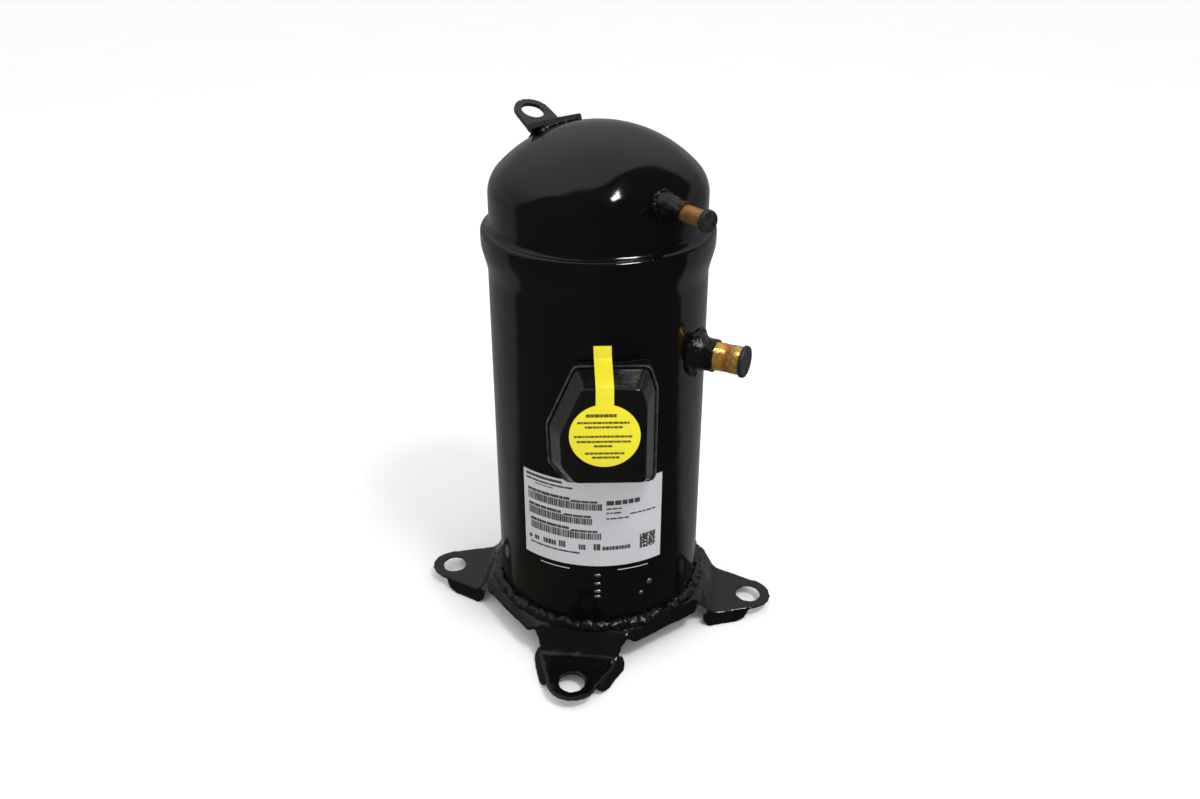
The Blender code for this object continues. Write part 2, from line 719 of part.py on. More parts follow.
def build_stator():
    ring = tube(STATOR_BORE_R, BORE_R - GAP, STACK_LOW_Z, STACK_HIGH_Z, ROUND)
    stator = piece("stator_core", ring, "lamination_steel")
    for k in range(4):
        flat = box((BORE_R - 0.0035, BORE_R + 0.010), (-0.030, 0.030), 0.091, 0.206)
        cut(stator, helper(f"gas_flat_{k}", flat, rotation=(0, 0, math.radians(20 + 90 * k))))
    piece("upper_winding", winding(STACK_HIGH_Z + GAP), "enamelled_copper")
    piece("lower_winding", winding(STACK_LOW_Z - GAP - WINDING_HEIGHT), "enamelled_copper")
    x, y = polar(0.062, math.radians(110))
    low = STACK_HIGH_Z + WINDING_HEIGHT + 2 * GAP
    piece("winding_protector", rod(0.008, low, low + 0.017), "machined_steel", (x, y, 0))


def build_rotor():
    inner = SHAFT_R + GAP
    piece("rotor_core", tube(inner, ROTOR_R, STACK_LOW_Z, STACK_HIGH_Z, ROUND), "lamination_steel")
    low = STACK_LOW_Z - GAP - 0.009
    piece("lower_end_ring", tube(0.026, ROTOR_R - 0.001, low, low + 0.009, 24), "aluminium")
    high = STACK_HIGH_Z + GAP
    piece("upper_end_ring", tube(0.026, ROTOR_R - 0.001, high, high + 0.009, 24), "aluminium")
    block = [(0.0135, 0), (0.040, 0), (0.040, 0.017), (0.0135, 0.017)]
    upper = [(r, z + high + 0.009 + GAP) for r, z in block]
    half_turn = math.radians(75)
    upper_bm = sector(upper, math.pi - half_turn, math.pi + half_turn, 10)
    piece("upper_counterweight", upper_bm, "cast_iron")
    lower = [(r, z + low - 0.017 - GAP) for r, z in block]
    piece("lower_counterweight", sector(lower, -half_turn, half_turn, 10), "cast_iron")


def build_crankshaft():
    steps = [(0.007, 0.049), (0.007, 0.057), (LOWER_JOURNAL_R, 0.057), (LOWER_JOURNAL_R, 0.0745)]
    steps += [(SHAFT_R, 0.0745), (SHAFT_R, 0.2235), (JOURNAL_R, 0.2235), (JOURNAL_R, 0.246)]
    shaft = piece("crankshaft", turned([(0, 0.049)] + steps + [(0, 0.246)], MIDDLE), "machined_steel")
    join(shaft, helper("crank_pin", rod(PIN_R, 0.241, 0.268, MIDDLE), (ORBIT, 0, 0)))
    lean = math.atan2(ORBIT, 0.220)
    oilway = rod(0.0018, 0, 0.240, 8)
    cut(shaft, helper("oilway", oilway, (0, 0, 0.041), (0, lean, 0)))
    pickup = [(0.0073, 0.0565), (0.0085, 0.0565), (0.0085, 0.046), (0.005, 0.019)]
    pickup += [(0.0035, 0.019), (0.0073, 0.046)]
    piece("oil_pickup", turned(pickup, SMALL), "machined_steel")
    bushing = tube(PIN_R + GAP, 0.0119, 0.2478, 0.2678)
    piece("drive_bushing", bushing, "machined_steel", (ORBIT, 0, 0))


# ---------------------------------------------------------------- bearings


def build_main_housing():
    bore = 0.0175
    pocket = 0.027
    floor = 0.2475
    profile = [
        (bore, 0.227),
        (0.026, 0.227),
        (0.028, HOUSING_LOW_Z - 0.006),
        (0.034, HOUSING_LOW_Z),
        (HOUSING_R, HOUSING_LOW_Z),
        (HOUSING_R, RECESS_Z),
        (PAD_R, RECESS_Z),
        (PAD_R, PAD_Z),
        (pocket, PAD_Z),
        (pocket, floor),
        (bore, floor),
    ]
    housing = piece("main_bearing_housing", turned(profile), "cast_iron")
    low = HOUSING_LOW_Z + 0.002
    top = SCROLL_FACE_Z - GAP
    inner = HOUSING_R + GAP
    arm = [(0.064, low), (ARM_R, low), (ARM_R, top), (inner, top), (inner, RECESS_Z - 0.0004)]
    arm += [(0.064, RECESS_Z - 0.0004)]
    for k, azimuth in enumerate(ARM_AZIMUTHS):
        post = sector(arm, azimuth - ARM_HALF_ANGLE, azimuth + ARM_HALF_ANGLE, 2)
        join(housing, helper(f"housing_arm_{k}", post))
        x, y = polar(BOLT_CIRCLE, azimuth)
        cut(housing, helper(f"bolt_thread_{k}", rod(BOLT_R + GAP, 0.257, 0.291, 12), (x, y, 0)))
    half = KEY_LENGTH / 2 + ORBIT + 0.0004
    for k in range(2):
        span = (KEY_CIRCLE - half, KEY_CIRCLE + half)
        slot = box(span, (-KEY_WIDTH / 2 - RUN, KEY_WIDTH / 2 + RUN), 0.2550, 0.263)
        cut(housing, helper(f"housing_slot_{k}", slot, rotation=(0, 0, math.pi * k)))
    piece("main_bushing", tube(JOURNAL_R + GAP, bore - GAP, 0.2273, 0.2472), "brass")


def build_lower_bearing():
    profile = [(0.0125, 0.057), (0.020, 0.057), (0.020, 0.073), (0.0125, 0.073)]
    housing = piece("lower_bearing_housing", turned(profile, MIDDLE), "cast_iron")
    arm = [(0.0175, 0.059), (ARM_R, 0.059), (ARM_R, 0.0675), (0.0175, 0.0675)]
    for k in range(3):
        middle = math.radians(30 + 120 * k)
        join(housing, helper(f"lower_arm_{k}", sector(arm, middle - 0.13, middle + 0.13, 2)))
    piece("lower_bushing", tube(LOWER_JOURNAL_R + GAP, 0.0122, 0.0573, 0.0727), "brass")


# ---------------------------------------------------------------- scroll set


def wrap(low, high, turn):
    """Involute wall: both flanks are involutes of one base circle, offset by half the thickness."""

    def flank(step, offset):
        angle = 2 * math.pi * step / STEPS_PER_TURN
        reach = BASE_CIRCLE * angle + offset
        x = BASE_CIRCLE * math.cos(angle) + reach * math.sin(angle)
        y = BASE_CIRCLE * math.sin(angle) - reach * math.cos(angle)
        return (x, y)

    steps = range(WRAP_FIRST_STEP, WRAP_LAST_STEP + 1)
    outline = [flank(step, WRAP_T / 2) for step in steps]
    outline += [flank(step, -WRAP_T / 2) for step in reversed(steps)]
    bm = slab(outline, low, high)
    bmesh.ops.rotate(bm, verts=bm.verts, cent=(0, 0, 0), matrix=Matrix.Rotation(turn, 3, "Z"))
    return bm


def build_thrust_washer():
    """Floating washer between housing and orbiting scroll, dragged round at half the orbit."""
    low = PAD_Z + GAP
    washer = tube(0.030, 0.046, low, ORBITING_LOW_Z - GAP, 28)
    piece("thrust_washer", washer, "machined_steel", (ORBIT / 2, 0, 0))


def build_oldham_ring():
    """Ring with two keys down into the housing's slots and two up into the orbiting scroll's."""
    low = RECESS_Z + GAP
    high = low + 0.0072
    hoop = tube(RING_INNER_R, RING_OUTER_R, low, high, ROUND)
    ring = piece("oldham_ring", hoop, "aluminium", (ORBIT, 0, 0))
    half = KEY_LENGTH / 2
    span = (KEY_CIRCLE - half, KEY_CIRCLE + half)
    width = (-KEY_WIDTH / 2, KEY_WIDTH / 2)
    for k in range(2):
        lower_key = box(span, width, low - KEY_REACH + GAP, low + 0.002)
        join(ring, helper(f"lower_key_{k}", lower_key, (ORBIT, 0, 0), (0, 0, math.pi * k)))
        upper_key = box(span, width, high - 0.002, ORBITING_LOW_Z + KEY_REACH)
        turn = math.pi / 2 + math.pi * k
        join(ring, helper(f"upper_key_{k}", upper_key, (ORBIT, 0, 0), (0, 0, turn)))


def build_orbiting_scroll():
    top = SCROLL_FACE_Z - GAP
    profile = [(0, 0.2705), (0.0145, 0.2705), (0.0145, 0.249), (0.021, 0.249), (0.021, ORBITING_LOW_Z)]
    profile += [(ORBITING_R, ORBITING_LOW_Z), (ORBITING_R, top), (0, top)]
    spot = (ORBIT, 0, 0)
    scroll = piece("orbiting_scroll", turned(profile), "cast_iron", spot)
    join(scroll, helper("orbiting_wrap", wrap(top - 0.0015, WRAP_TIP_Z, 0), spot))
    start = KEY_CIRCLE - KEY_LENGTH / 2 - ORBIT - 0.0004
    for k in range(2):
        slot = box((start, 0.070), (-KEY_WIDTH / 2 - RUN, KEY_WIDTH / 2 + RUN), 0.266, 0.2734)
        turn = math.pi / 2 + math.pi * k
        cut(scroll, helper(f"orbiting_slot_{k}", slot, spot, (0, 0, turn)))
    piece("orbiting_bushing", tube(0.0122, 0.0142, 0.2493, 0.2686), "brass", spot)


def build_fixed_scroll():
    """Upside-down cup with a central port, four bolt ears and a groove on top for the seal."""
    roof = WRAP_TIP_Z + GAP
    profile = [
        (0.005, roof),
        (CAVITY_R, roof),
        (CAVITY_R, SCROLL_FACE_Z),
        (FIXED_R, SCROLL_FACE_Z),
        (FIXED_R, FIXED_TOP_Z),
        (0.040, FIXED_TOP_Z),
        (0.040, 0.317),
        (0.0205, 0.317),
        (0.0205, FIXED_TOP_Z),
        (0.005, FIXED_TOP_Z),
    ]
    scroll = piece("fixed_scroll", turned(profile), "cast_iron")
    join(scroll, helper("fixed_wrap", wrap(SCROLL_FACE_Z, roof + 0.0015, math.pi)))
    ear = [(0.062, SCROLL_FACE_Z), (0.082, SCROLL_FACE_Z), (0.082, 0.292), (0.062, 0.292)]
    bolt = [(0, 0.261), (BOLT_R, 0.261), (BOLT_R, 0.2923), (0.0055, 0.2923), (0.0055, 0.298)]
    bolt.append((0, 0.298))
    for k, azimuth in enumerate(ARM_AZIMUTHS):
        block = sector(ear, azimuth - ARM_HALF_ANGLE, azimuth + ARM_HALF_ANGLE, 2)
        join(scroll, helper(f"fixed_ear_{k}", block))
        x, y = polar(BOLT_CIRCLE, azimuth)
        cut(scroll, helper(f"ear_bore_{k}", rod(BOLT_R + GAP, 0.271, 0.301, 12), (x, y, 0)))
        piece(f"scroll_bolt_{k + 1}", turned(bolt, 12), "machined_steel", (x, y, 0))


# ---------------------------------------------------------------- valves and baffle


def build_floating_seal():
    profile = [(0.021, 0.3178), (0.0395, 0.3178), (0.0395, 0.328), (0.031, 0.329), (0.029, 0.3376)]
    profile += [(0.025, 0.3376), (0.024, 0.329), (0.021, 0.328)]
    piece("floating_seal", turned(profile), "cast_iron")


def build_check_valve():
    seat = MUFFLER_Z + MUFFLER_T
    piece("check_valve_disc", rod(CHECK_SEAT_R, seat + GAP, seat + 0.0018, MIDDLE), "machined_steel")
    inner = CHECK_SEAT_R + 0.0008
    outer = inner + 0.0028
    roof = seat + 0.0047
    cage = [(inner, seat + GAP), (outer, seat + GAP), (outer, roof + 0.002), (0.005, roof + 0.002)]
    cage += [(0.005, roof), (inner, roof)]
    retainer = piece("check_valve_retainer", turned(cage, MIDDLE), "machined_steel")
    for k in range(3):
        window = box((inner - 0.002, outer + 0.002), (-0.005, 0.005), seat + 0.0012, roof - 0.0005)
        turn = math.radians(120 * k)
        cut(retainer, helper(f"cage_window_{k}", window, rotation=(0, 0, turn)))


def build_relief_valve():
    x, y = polar(0.060, RELIEF_AZ)
    top = MUFFLER_Z - GAP
    body = [(0.002, 0.329), (0.0085, 0.329), (0.0085, top), (0.0062, top), (0.0062, 0.331)]
    body.append((0.002, 0.331))
    piece("relief_valve_body", turned(body, SMALL), "machined_steel", (x, y, 0))
    plunger = [(0, 0.3335), (0.0056, 0.3335), (0.0056, top), (0.0030, top), (0.0030, 0.3422)]
    plunger.append((0, 0.3422))
    piece("relief_plunger", turned(plunger, SMALL), "brass", (x, y, 0))


def build_suction_baffle():
    """Bent sheet in front of the suction opening that turns the gas up and down."""
    middle = math.degrees(SUCTION_AZ)
    low, high = middle - BAFFLE_HALF_ANGLE, middle + BAFFLE_HALF_ANGLE
    leg = BAFFLE_LEG_ANGLE
    outline = [polar(ARM_R, math.radians(low)), polar(ARM_R, math.radians(low + leg))]
    outline += arc(0, 0, 0.0780, low + leg, high - leg, 6)
    outline += [polar(ARM_R, math.radians(high - leg)), polar(ARM_R, math.radians(high))]
    outline += arc(0, 0, 0.0765, high, low, 6)
    piece("suction_baffle", slab(outline, 0.247, 0.289), "machined_steel")


def main():
    clear_scene()
    build_mounting_plate()
    build_bottom_cap()
    build_centre_shell()
    build_top_cap()
    build_muffler_plate()
    build_lifting_ear()
    build_suction_stub()
    build_discharge_stub()
    build_terminal_fence()
    build_terminal_cover()
    build_seal_tag()
    build_rating_label()
    build_terminal()
    build_motor_leads()
    build_stator()
    build_rotor()
    build_crankshaft()
    build_main_housing()
    build_lower_bearing()
    build_thrust_washer()
    build_oldham_ring()
    build_orbiting_scroll()
    build_fixed_scroll()
    build_floating_seal()
    build_check_valve()
    build_relief_valve()
    build_suction_baffle()


main()
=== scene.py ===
"""Looks of a hermetic scroll compressor: smooth, welded, painted and labelled surfaces.

Metres, +Z up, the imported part's own frame. The terminal box faces just right of the -Y foot.
"""

import json
import math
import random

import bmesh
import bpy
from mathutils import Matrix, Vector, noise


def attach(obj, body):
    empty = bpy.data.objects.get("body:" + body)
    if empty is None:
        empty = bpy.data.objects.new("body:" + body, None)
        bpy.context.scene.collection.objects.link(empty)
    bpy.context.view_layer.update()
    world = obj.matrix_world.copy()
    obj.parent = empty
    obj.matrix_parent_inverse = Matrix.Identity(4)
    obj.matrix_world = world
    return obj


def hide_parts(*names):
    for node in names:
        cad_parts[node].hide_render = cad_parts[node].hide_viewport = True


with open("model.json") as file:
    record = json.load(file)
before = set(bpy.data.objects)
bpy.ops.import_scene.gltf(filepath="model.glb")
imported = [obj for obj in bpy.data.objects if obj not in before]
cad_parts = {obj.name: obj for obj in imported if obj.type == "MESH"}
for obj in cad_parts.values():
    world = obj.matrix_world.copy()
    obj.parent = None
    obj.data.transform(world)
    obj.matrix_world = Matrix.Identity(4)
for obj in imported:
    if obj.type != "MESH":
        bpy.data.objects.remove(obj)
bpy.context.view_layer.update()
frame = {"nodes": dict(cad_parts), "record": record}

# Facets round large and small turned pieces
FINE = 180
ROUND = 72

# Shell outline, shared by every piece that sits on it
SHELL_R = 0.0862
BELL_R = 0.0910
WALL = 0.003
SHELL_LOW_Z = 0.0293
FLARE_LOW_Z = 0.316
FLARE_HIGH_Z = 0.338
BELL_TOP_Z = 0.351
BELL_EDGE_R = 0.0042
CAP_R = 0.0842
CAP_LOW_Z = 0.343
DOME_Z = 0.375
CROWN_R = 0.105
KNUCKLE_R = 0.0277

# Dish pressed into the cap round the discharge stub
DISH_DEPTH = 0.0084
DISH_FRONT = 0.042
DISH_BACK = 0.046
DISH_ABOVE = 0.028
DISH_BELOW = 0.031
DISH_SOFTNESS = 0.05

# Side features
SUCTION_AZ = math.radians(-18)
SUCTION_Z = 0.2582
DISCHARGE_AZ = math.radians(-42.9)
DISCHARGE_Z = 0.3829
BOX_AZ = math.radians(-79.6)
EAR_AZ = math.radians(136)
COVER_FRONT = 0.112
TAG_DISC_R = 0.0261
TAG_SIDEWAYS = 0.0020
TAG_LEAN = 0.0011
TAG_DISC_Z = 0.2255
TAG_STRIP_HALF = 0.0066
TAG_T = 0.0005
LABEL_START = math.radians(-124.0)
LABEL_END = math.radians(-45.6)
LABEL_LOW_Z = 0.0895
LABEL_HIGH_Z = 0.169

# Lines of print on the disc as (height, left end, right end) from its middle
TAG_LINES = ((0.0103, -0.0200, 0.0180), (0.0066, -0.0145, 0.0130), (-0.0012, -0.0225, 0.0212),
             (-0.0055, -0.0205, 0.0190), (-0.0093, -0.0079, 0.0065), (-0.0154, -0.0145, 0.0145),
             (-0.0189, -0.0094, 0.0108))

# Print on the label, from its lower left corner: bar rows as (low edge, left, right), short lines as
# (low edge, left, right), blocks as (left, right, height), and the square of dots
LABEL_BAR_ROWS = ((0.0535, 0.0045, 0.066), (0.0398, 0.005, 0.060), (0.0258, 0.0065, 0.066))
LABEL_LINES = ((0.0540, 0.071, 0.083), (0.0500, 0.071, 0.083), (0.0448, 0.071, 0.089), (0.0477, 0.090, 0.112))
LABEL_BLOCKS = ((0.0045, 0.0085, 0.0034), (0.0100, 0.0150, 0.0040), (0.0185, 0.0300, 0.0048),
                (0.0325, 0.0380, 0.0060), (0.0490, 0.0560, 0.0050), (0.0610, 0.0670, 0.0062),
                (0.0680, 0.0920, 0.0036))
LABEL_BLOCKS_Z = 0.0155
DOT_SQUARE = (0.0985, 0.0130)
DOT_COUNT = 14
DOT_SIDE = 0.0010

# Lifting ear: middle of its foot beside the ear's plane, half the foot's weld, and the two welds' reach
EAR_SIDEWAYS = 0.0088
EAR_WELD_HALF = 0.021
EAR_WELDS = {"outer": 0.0505, "inner": 0.0365}

# Stubs: bores of the necks and tubes, outsides of the tubes, and the bare band along the suction tube
SUCTION_NECK = 0.0114
SUCTION_BORE = 0.0103
SUCTION_TUBE_R = 0.0111
SUCTION_BAND = (0.1088, 0.1144)
DISCHARGE_NECK = 0.0067
DISCHARGE_BORE = 0.00555
DISCHARGE_TUBE_R = 0.00635

# Small domes low on the shell in pale metal, which paints their glints: a column of four, and two beside it
SPOT_COLUMN_AZ = math.radians(-81.4)
SPOT_COLUMN_Z = (0.0800, 0.0715, 0.0640, 0.0585)
SPOT_COLUMN_SIZE = (0.0030, 0.0014)
LONE_SPOTS = ((math.radians(-52), 0.066, 0.0026), (math.radians(-57), 0.057, 0.0020))
SPOT_RISE = 0.0012
SPOT_SUNK = 0.0001

# Camera fitted to the viewing angle
CAMERA_SPOT = (0.1235, -0.7726, 0.6177)
CAMERA_TURN = (math.radians(63.83), 0.0, math.radians(9.08))
CAMERA_LENS = 31.97
CAMERA_SHIFT = (0.00125, -0.0343)

# Horizontal directions from the camera through the object and to its right
VIEW_AWAY = (-0.158, 0.987, 0.0)
VIEW_RIGHT = (0.987, 0.158, 0.0)

# What mirrors see of the floor: dark on the camera's side, grey behind the object
DARK_LEFT = (0.085, 0.088, 0.070)
DARK_RIGHT = (0.036, 0.041, 0.041)
LIGHT_SIDE = (0.26, 0.26, 0.26)

# What mirrors see of the room: a dark front, more light on its left, a pale back, brighter overhead
ROOM_DARK = 0.036
ROOM_LEFT = 0.05
ROOM_PALE = 0.24
ROOM_OVERHEAD = 0.36

PURE_WHITE = (1, 1, 1, 1)

# How far the pale part reaches forward overhead, and how much less on the right
PALE_FORWARD = 0.20
PALE_RIGHT_LOSS = 0.8

# One strip lamp above and to the right
LAMP_SPOT = (0.80, -0.66, 1.95)
LAMP_TARGET = (0, 0, 0.2)
LAMP_SIZE = (0.50, 0.34)
LAMP_POWER = 18.0

FLOOR_Z = -0.0002
FLOOR_RADIUS = 40.0


# ---------------------------------------------------------------- shader helpers


class Shader:
    """A material under construction, with short calls for the nodes it needs."""

    def __init__(self, name, colour, roughness, metallic=0.0):
        self.material = bpy.data.materials.new(name)
        self.material.use_nodes = True
        self.tree = self.material.node_tree
        self.surface = self.tree.nodes["Principled BSDF"]
        self.surface.inputs["Base Color"].default_value = (*colour, 1.0)
        self.surface.inputs["Roughness"].default_value = roughness
        self.surface.inputs["Metallic"].default_value = metallic
        self.place = self.tree.nodes.new("ShaderNodeTexCoord").outputs["Object"]
        self.height = None

    def put(self, socket, value):
        if isinstance(value, bpy.types.NodeSocket):
            self.tree.links.new(value, socket)
        else:
            socket.default_value = value

    def set(self, name, value):
        self.put(self.surface.inputs[name], value)

    def stretched(self, scale):
        """Object coordinates scaled on each axis."""
        mapping = self.tree.nodes.new("ShaderNodeMapping")
        self.put(mapping.inputs["Vector"], self.place)
        mapping.inputs["Scale"].default_value = scale
        return mapping.outputs["Vector"]

    def noise(self, scale, detail=4.0, roughness=0.55, vector=None):
        texture = self.tree.nodes.new("ShaderNodeTexNoise")
        self.put(texture.inputs["Vector"], vector or self.place)
        texture.inputs["Scale"].default_value = scale
        texture.inputs["Detail"].default_value = detail
        texture.inputs["Roughness"].default_value = roughness
        return texture.outputs["Fac"]

    def cells(self, scale, vector=None):
        texture = self.tree.nodes.new("ShaderNodeTexVoronoi")
        self.put(texture.inputs["Vector"], vector or self.place)
        texture.inputs["Scale"].default_value = scale
        return texture.outputs["Distance"]

    def bands(self, scale, direction="Z", distortion=0.0):
        texture = self.tree.nodes.new("ShaderNodeTexWave")
        texture.bands_direction = direction
        self.put(texture.inputs["Vector"], self.place)
        texture.inputs["Scale"].default_value = scale
        texture.inputs["Distortion"].default_value = distortion
        return texture.outputs["Fac"]

    def rings(self, scale, distortion=0.0):
        texture = self.tree.nodes.new("ShaderNodeTexWave")
        texture.wave_type = "RINGS"
        texture.rings_direction = "Z"
        self.put(texture.inputs["Vector"], self.place)
        texture.inputs["Scale"].default_value = scale
        texture.inputs["Distortion"].default_value = distortion
        return texture.outputs["Fac"]

    def span(self, value, low, high, to_low=0.0, to_high=1.0):
        """Maps low..high to to_low..to_high, clamped."""
        node = self.tree.nodes.new("ShaderNodeMapRange")
        self.put(node.inputs["Value"], value)
        node.inputs["From Min"].default_value = low
        node.inputs["From Max"].default_value = high
        node.inputs["To Min"].default_value = to_low
        node.inputs["To Max"].default_value = to_high
        return node.outputs["Result"]

    def sum(self, first, second, operation="ADD"):
        node = self.tree.nodes.new("ShaderNodeMath")
        node.operation = operation
        self.put(node.inputs[0], first)
        self.put(node.inputs[1], second)
        return node.outputs[0]

    def mix(self, share, first, second):
        node = self.tree.nodes.new("ShaderNodeMix")
        node.data_type = "RGBA"
        self.put(node.inputs["Factor"], share)
        self.put(node.inputs["A"], first if not isinstance(first, tuple) else (*first, 1.0))
        self.put(node.inputs["B"], second if not isinstance(second, tuple) else (*second, 1.0))
        return node.outputs["Result"]

    def axis(self, name):
        node = self.tree.nodes.new("ShaderNodeSeparateXYZ")
        self.put(node.inputs[0], self.place)
        return node.outputs[name]

    def edges(self, low=0.52, high=0.60):
        """Share of convex edge on finely meshed pieces: wear on most paints, and a painted highlight on the
        terminal box's rim.
        """
        pointiness = self.tree.nodes.new("ShaderNodeNewGeometry").outputs["Pointiness"]
        return self.span(pointiness, low, high)

    def bump(self, height, depth, strength=1.0):
        """Adds a layer of relief of that depth in metres."""
        node = self.tree.nodes.new("ShaderNodeBump")
        node.inputs["Strength"].default_value = strength
        node.inputs["Distance"].default_value = depth
        self.put(node.inputs["Height"], height)
        if self.height is not None:
            self.put(node.inputs["Normal"], self.height)
        self.height = node.outputs["Normal"]
        self.set("Normal", self.height)


# ---------------------------------------------------------------- materials


def black_paint():
    """Gloss paint over rolled steel: orange peel, faint haze and a little dust."""
    s = Shader("gloss_black_paint", (0.0016, 0.0016, 0.0015), 0.1)
    haze = s.noise(14, 5)
    fine = s.noise(900, 2)
    dust = s.span(s.noise(2600, 2), 0.68, 0.76)
    colour = s.mix(haze, (0.0010, 0.0011, 0.0009), (0.0028, 0.0028, 0.0026))
    s.set("Base Color", s.mix(s.sum(dust, 0.4, "MULTIPLY"), colour, (0.02, 0.02, 0.02)))
    s.set("Roughness", s.sum(s.span(haze, 0.3, 0.7, 0.05, 0.11), s.span(fine, 0.3, 0.7, 0.0, 0.04)))
    s.set("IOR", 1.5)
    s.bump(s.noise(24, 2), 0.0018, 0.5)
    s.bump(s.noise(420, 2), 0.00005, 0.30)
    return s.material


def thick_paint():
    """The same paint lying thick over rough, stamped and welded steel."""
    s = Shader("thick_black_paint", (0.006, 0.006, 0.006), 0.2)
    blotch = s.noise(60, 5)
    grit = s.noise(1500, 3)
    wear = s.sum(s.edges(0.53, 0.62), s.span(blotch, 0.45, 0.62), "MULTIPLY")
    colour = s.mix(blotch, (0.0012, 0.0013, 0.0011), (0.0050, 0.0050, 0.0046))
    s.set("Base Color", s.mix(s.sum(wear, 0.35, "MULTIPLY"), colour, (0.045, 0.043, 0.040)))
    s.set("Roughness", s.sum(s.span(blotch, 0.3, 0.7, 0.06, 0.17), s.span(grit, 0.3, 0.7, 0.0, 0.05)))
    s.bump(s.noise(70, 3), 0.0014, 0.6)
    s.bump(grit, 0.00004, 0.4)
    return s.material


def bracket_paint():
    """Thin satin paint on the lifting bracket, speckled and scuffed on its flat."""
    s = Shader("satin_black_paint", (0.012, 0.012, 0.012), 0.42)
    speck = s.span(s.noise(1400, 3), 0.42, 0.62)
    scuff = s.span(s.noise(90, 5), 0.5, 0.7)
    colour = s.mix(speck, (0.005, 0.005, 0.005), (0.026, 0.026, 0.026))
    s.set("Base Color", s.mix(s.edges(0.53, 0.60), colour, (0.09, 0.09, 0.09)))
    s.set("Roughness", s.sum(s.span(scuff, 0, 1, 0.36, 0.46), s.span(speck, 0, 1, 0.0, 0.08)))
    s.bump(s.noise(1400, 3), 0.0002, 0.6)
    return s.material


def rim_paint():
    """Paint on the terminal box's rim, with a painted pale grey highlight along its pressed edge."""
    s = Shader("rim_black_paint", (0.006, 0.006, 0.006), 0.2)
    painted_highlight_patches = s.span(s.noise(120, 4), 0.25, 0.6)
    colour = s.mix(s.noise(300, 3), (0.002, 0.002, 0.002), (0.008, 0.008, 0.0075))
    # Convex edges inside the patches turn pale grey: a painted highlight along the pressed edge.
    s.set("Base Color", s.mix(s.sum(s.edges(0.505, 0.56), painted_highlight_patches, "MULTIPLY"), colour, (0.13, 0.13, 0.125)))
    s.set("Roughness", s.span(painted_highlight_patches, 0, 1, 0.12, 0.26))
    s.bump(s.noise(260, 3), 0.0003, 0.5)
    return s.material


def weld_paint():
    """Paint over a weld bead: very shiny, with spatter."""
    s = Shader("weld_black_paint", (0.006, 0.006, 0.006), 0.12)
    lump = s.noise(260, 3)
    spatter = s.span(s.cells(520), 0.0, 0.30, 1.0, 0.0)
    s.set("Base Color", s.mix(lump, (0.0015, 0.0015, 0.0015), (0.0065, 0.006, 0.0055)))
    s.set("Roughness", s.span(s.noise(700, 2), 0.3, 0.7, 0.04, 0.16))
    s.bump(lump, 0.0016, 0.7)
    s.bump(spatter, 0.0003, 0.35)
    return s.material


def black_plastic():
    """Moulded cover: fine spark texture and rub marks."""
    s = Shader("black_moulding", (0.010, 0.010, 0.010), 0.3)
    grain = s.noise(3200, 2)
    cloud = s.noise(55, 5)
    painted_highlight_patches = s.span(s.noise(600, 3, vector=s.stretched((0.12, 1.0, 1.0))), 0.62, 0.72)
    colour = s.mix(cloud, (0.0018, 0.0018, 0.0018), (0.0052, 0.0050, 0.0047))
    s.set("Base Color", s.mix(s.sum(painted_highlight_patches, 0.25, "MULTIPLY"), colour, (0.02, 0.02, 0.02)))
    s.set("Roughness", s.sum(s.span(cloud, 0.3, 0.7, 0.12, 0.22), s.span(grain, 0.3, 0.7, 0, 0.07)))
    s.bump(grain, 0.00005, 0.5)
    s.bump(s.noise(60, 3), 0.0009, 0.5)
    return s.material


def black_rubber():
    """Soft stopper: matt, with a bloom and fine mould texture."""
    s = Shader("soft_black_rubber", (0.02, 0.02, 0.021), 0.7)
    bloom = s.noise(240, 5)
    grain = s.noise(2600, 3)
    colour = s.mix(s.span(bloom, 0.35, 0.7), (0.005, 0.005, 0.0055), (0.018, 0.018, 0.019))
    s.set("Base Color", s.mix(s.sum(s.edges(0.53, 0.60), 0.4, "MULTIPLY"), colour, (0.04, 0.04, 0.04)))
    s.set("Roughness", s.span(bloom, 0.3, 0.7, 0.42, 0.70))
    s.bump(grain, 0.0001, 0.5)
    s.bump(s.bands(900), 0.00005, 0.2)
    return s.material


def suction_copper():
    """Golden plated tube with a bare copper band round its middle and turned rings."""
    s = Shader("golden_tube", (0.80, 0.46, 0.13), 0.26, 0.8)
    along = s.axis("Z")
    patina = s.noise(420, 5)
    start, end = SUCTION_BAND
    blur = 0.0008
    middle = s.sum(s.span(along, start, start + blur), s.span(along, end - blur, end, 1.0, 0.0), "MULTIPLY")
    gold = s.mix(s.span(patina, 0.35, 0.65), (0.66, 0.35, 0.075), (0.95, 0.58, 0.17))
    bare = s.mix(s.span(patina, 0.35, 0.65), (0.62, 0.22, 0.060), (0.92, 0.38, 0.12))
    colour = s.mix(middle, gold, bare)
    stain = s.span(s.noise(160, 5), 0.60, 0.75)
    s.set("Base Color", s.mix(s.sum(stain, 0.35, "MULTIPLY"), colour, (0.32, 0.14, 0.045)))
    s.set("Roughness", s.span(patina, 0.3, 0.7, 0.20, 0.40))
    s.bump(s.bands(1300, "Z", 0.6), 0.00005, 0.5)
    s.bump(s.noise(330, 3), 0.0003, 0.35)
    return s.material


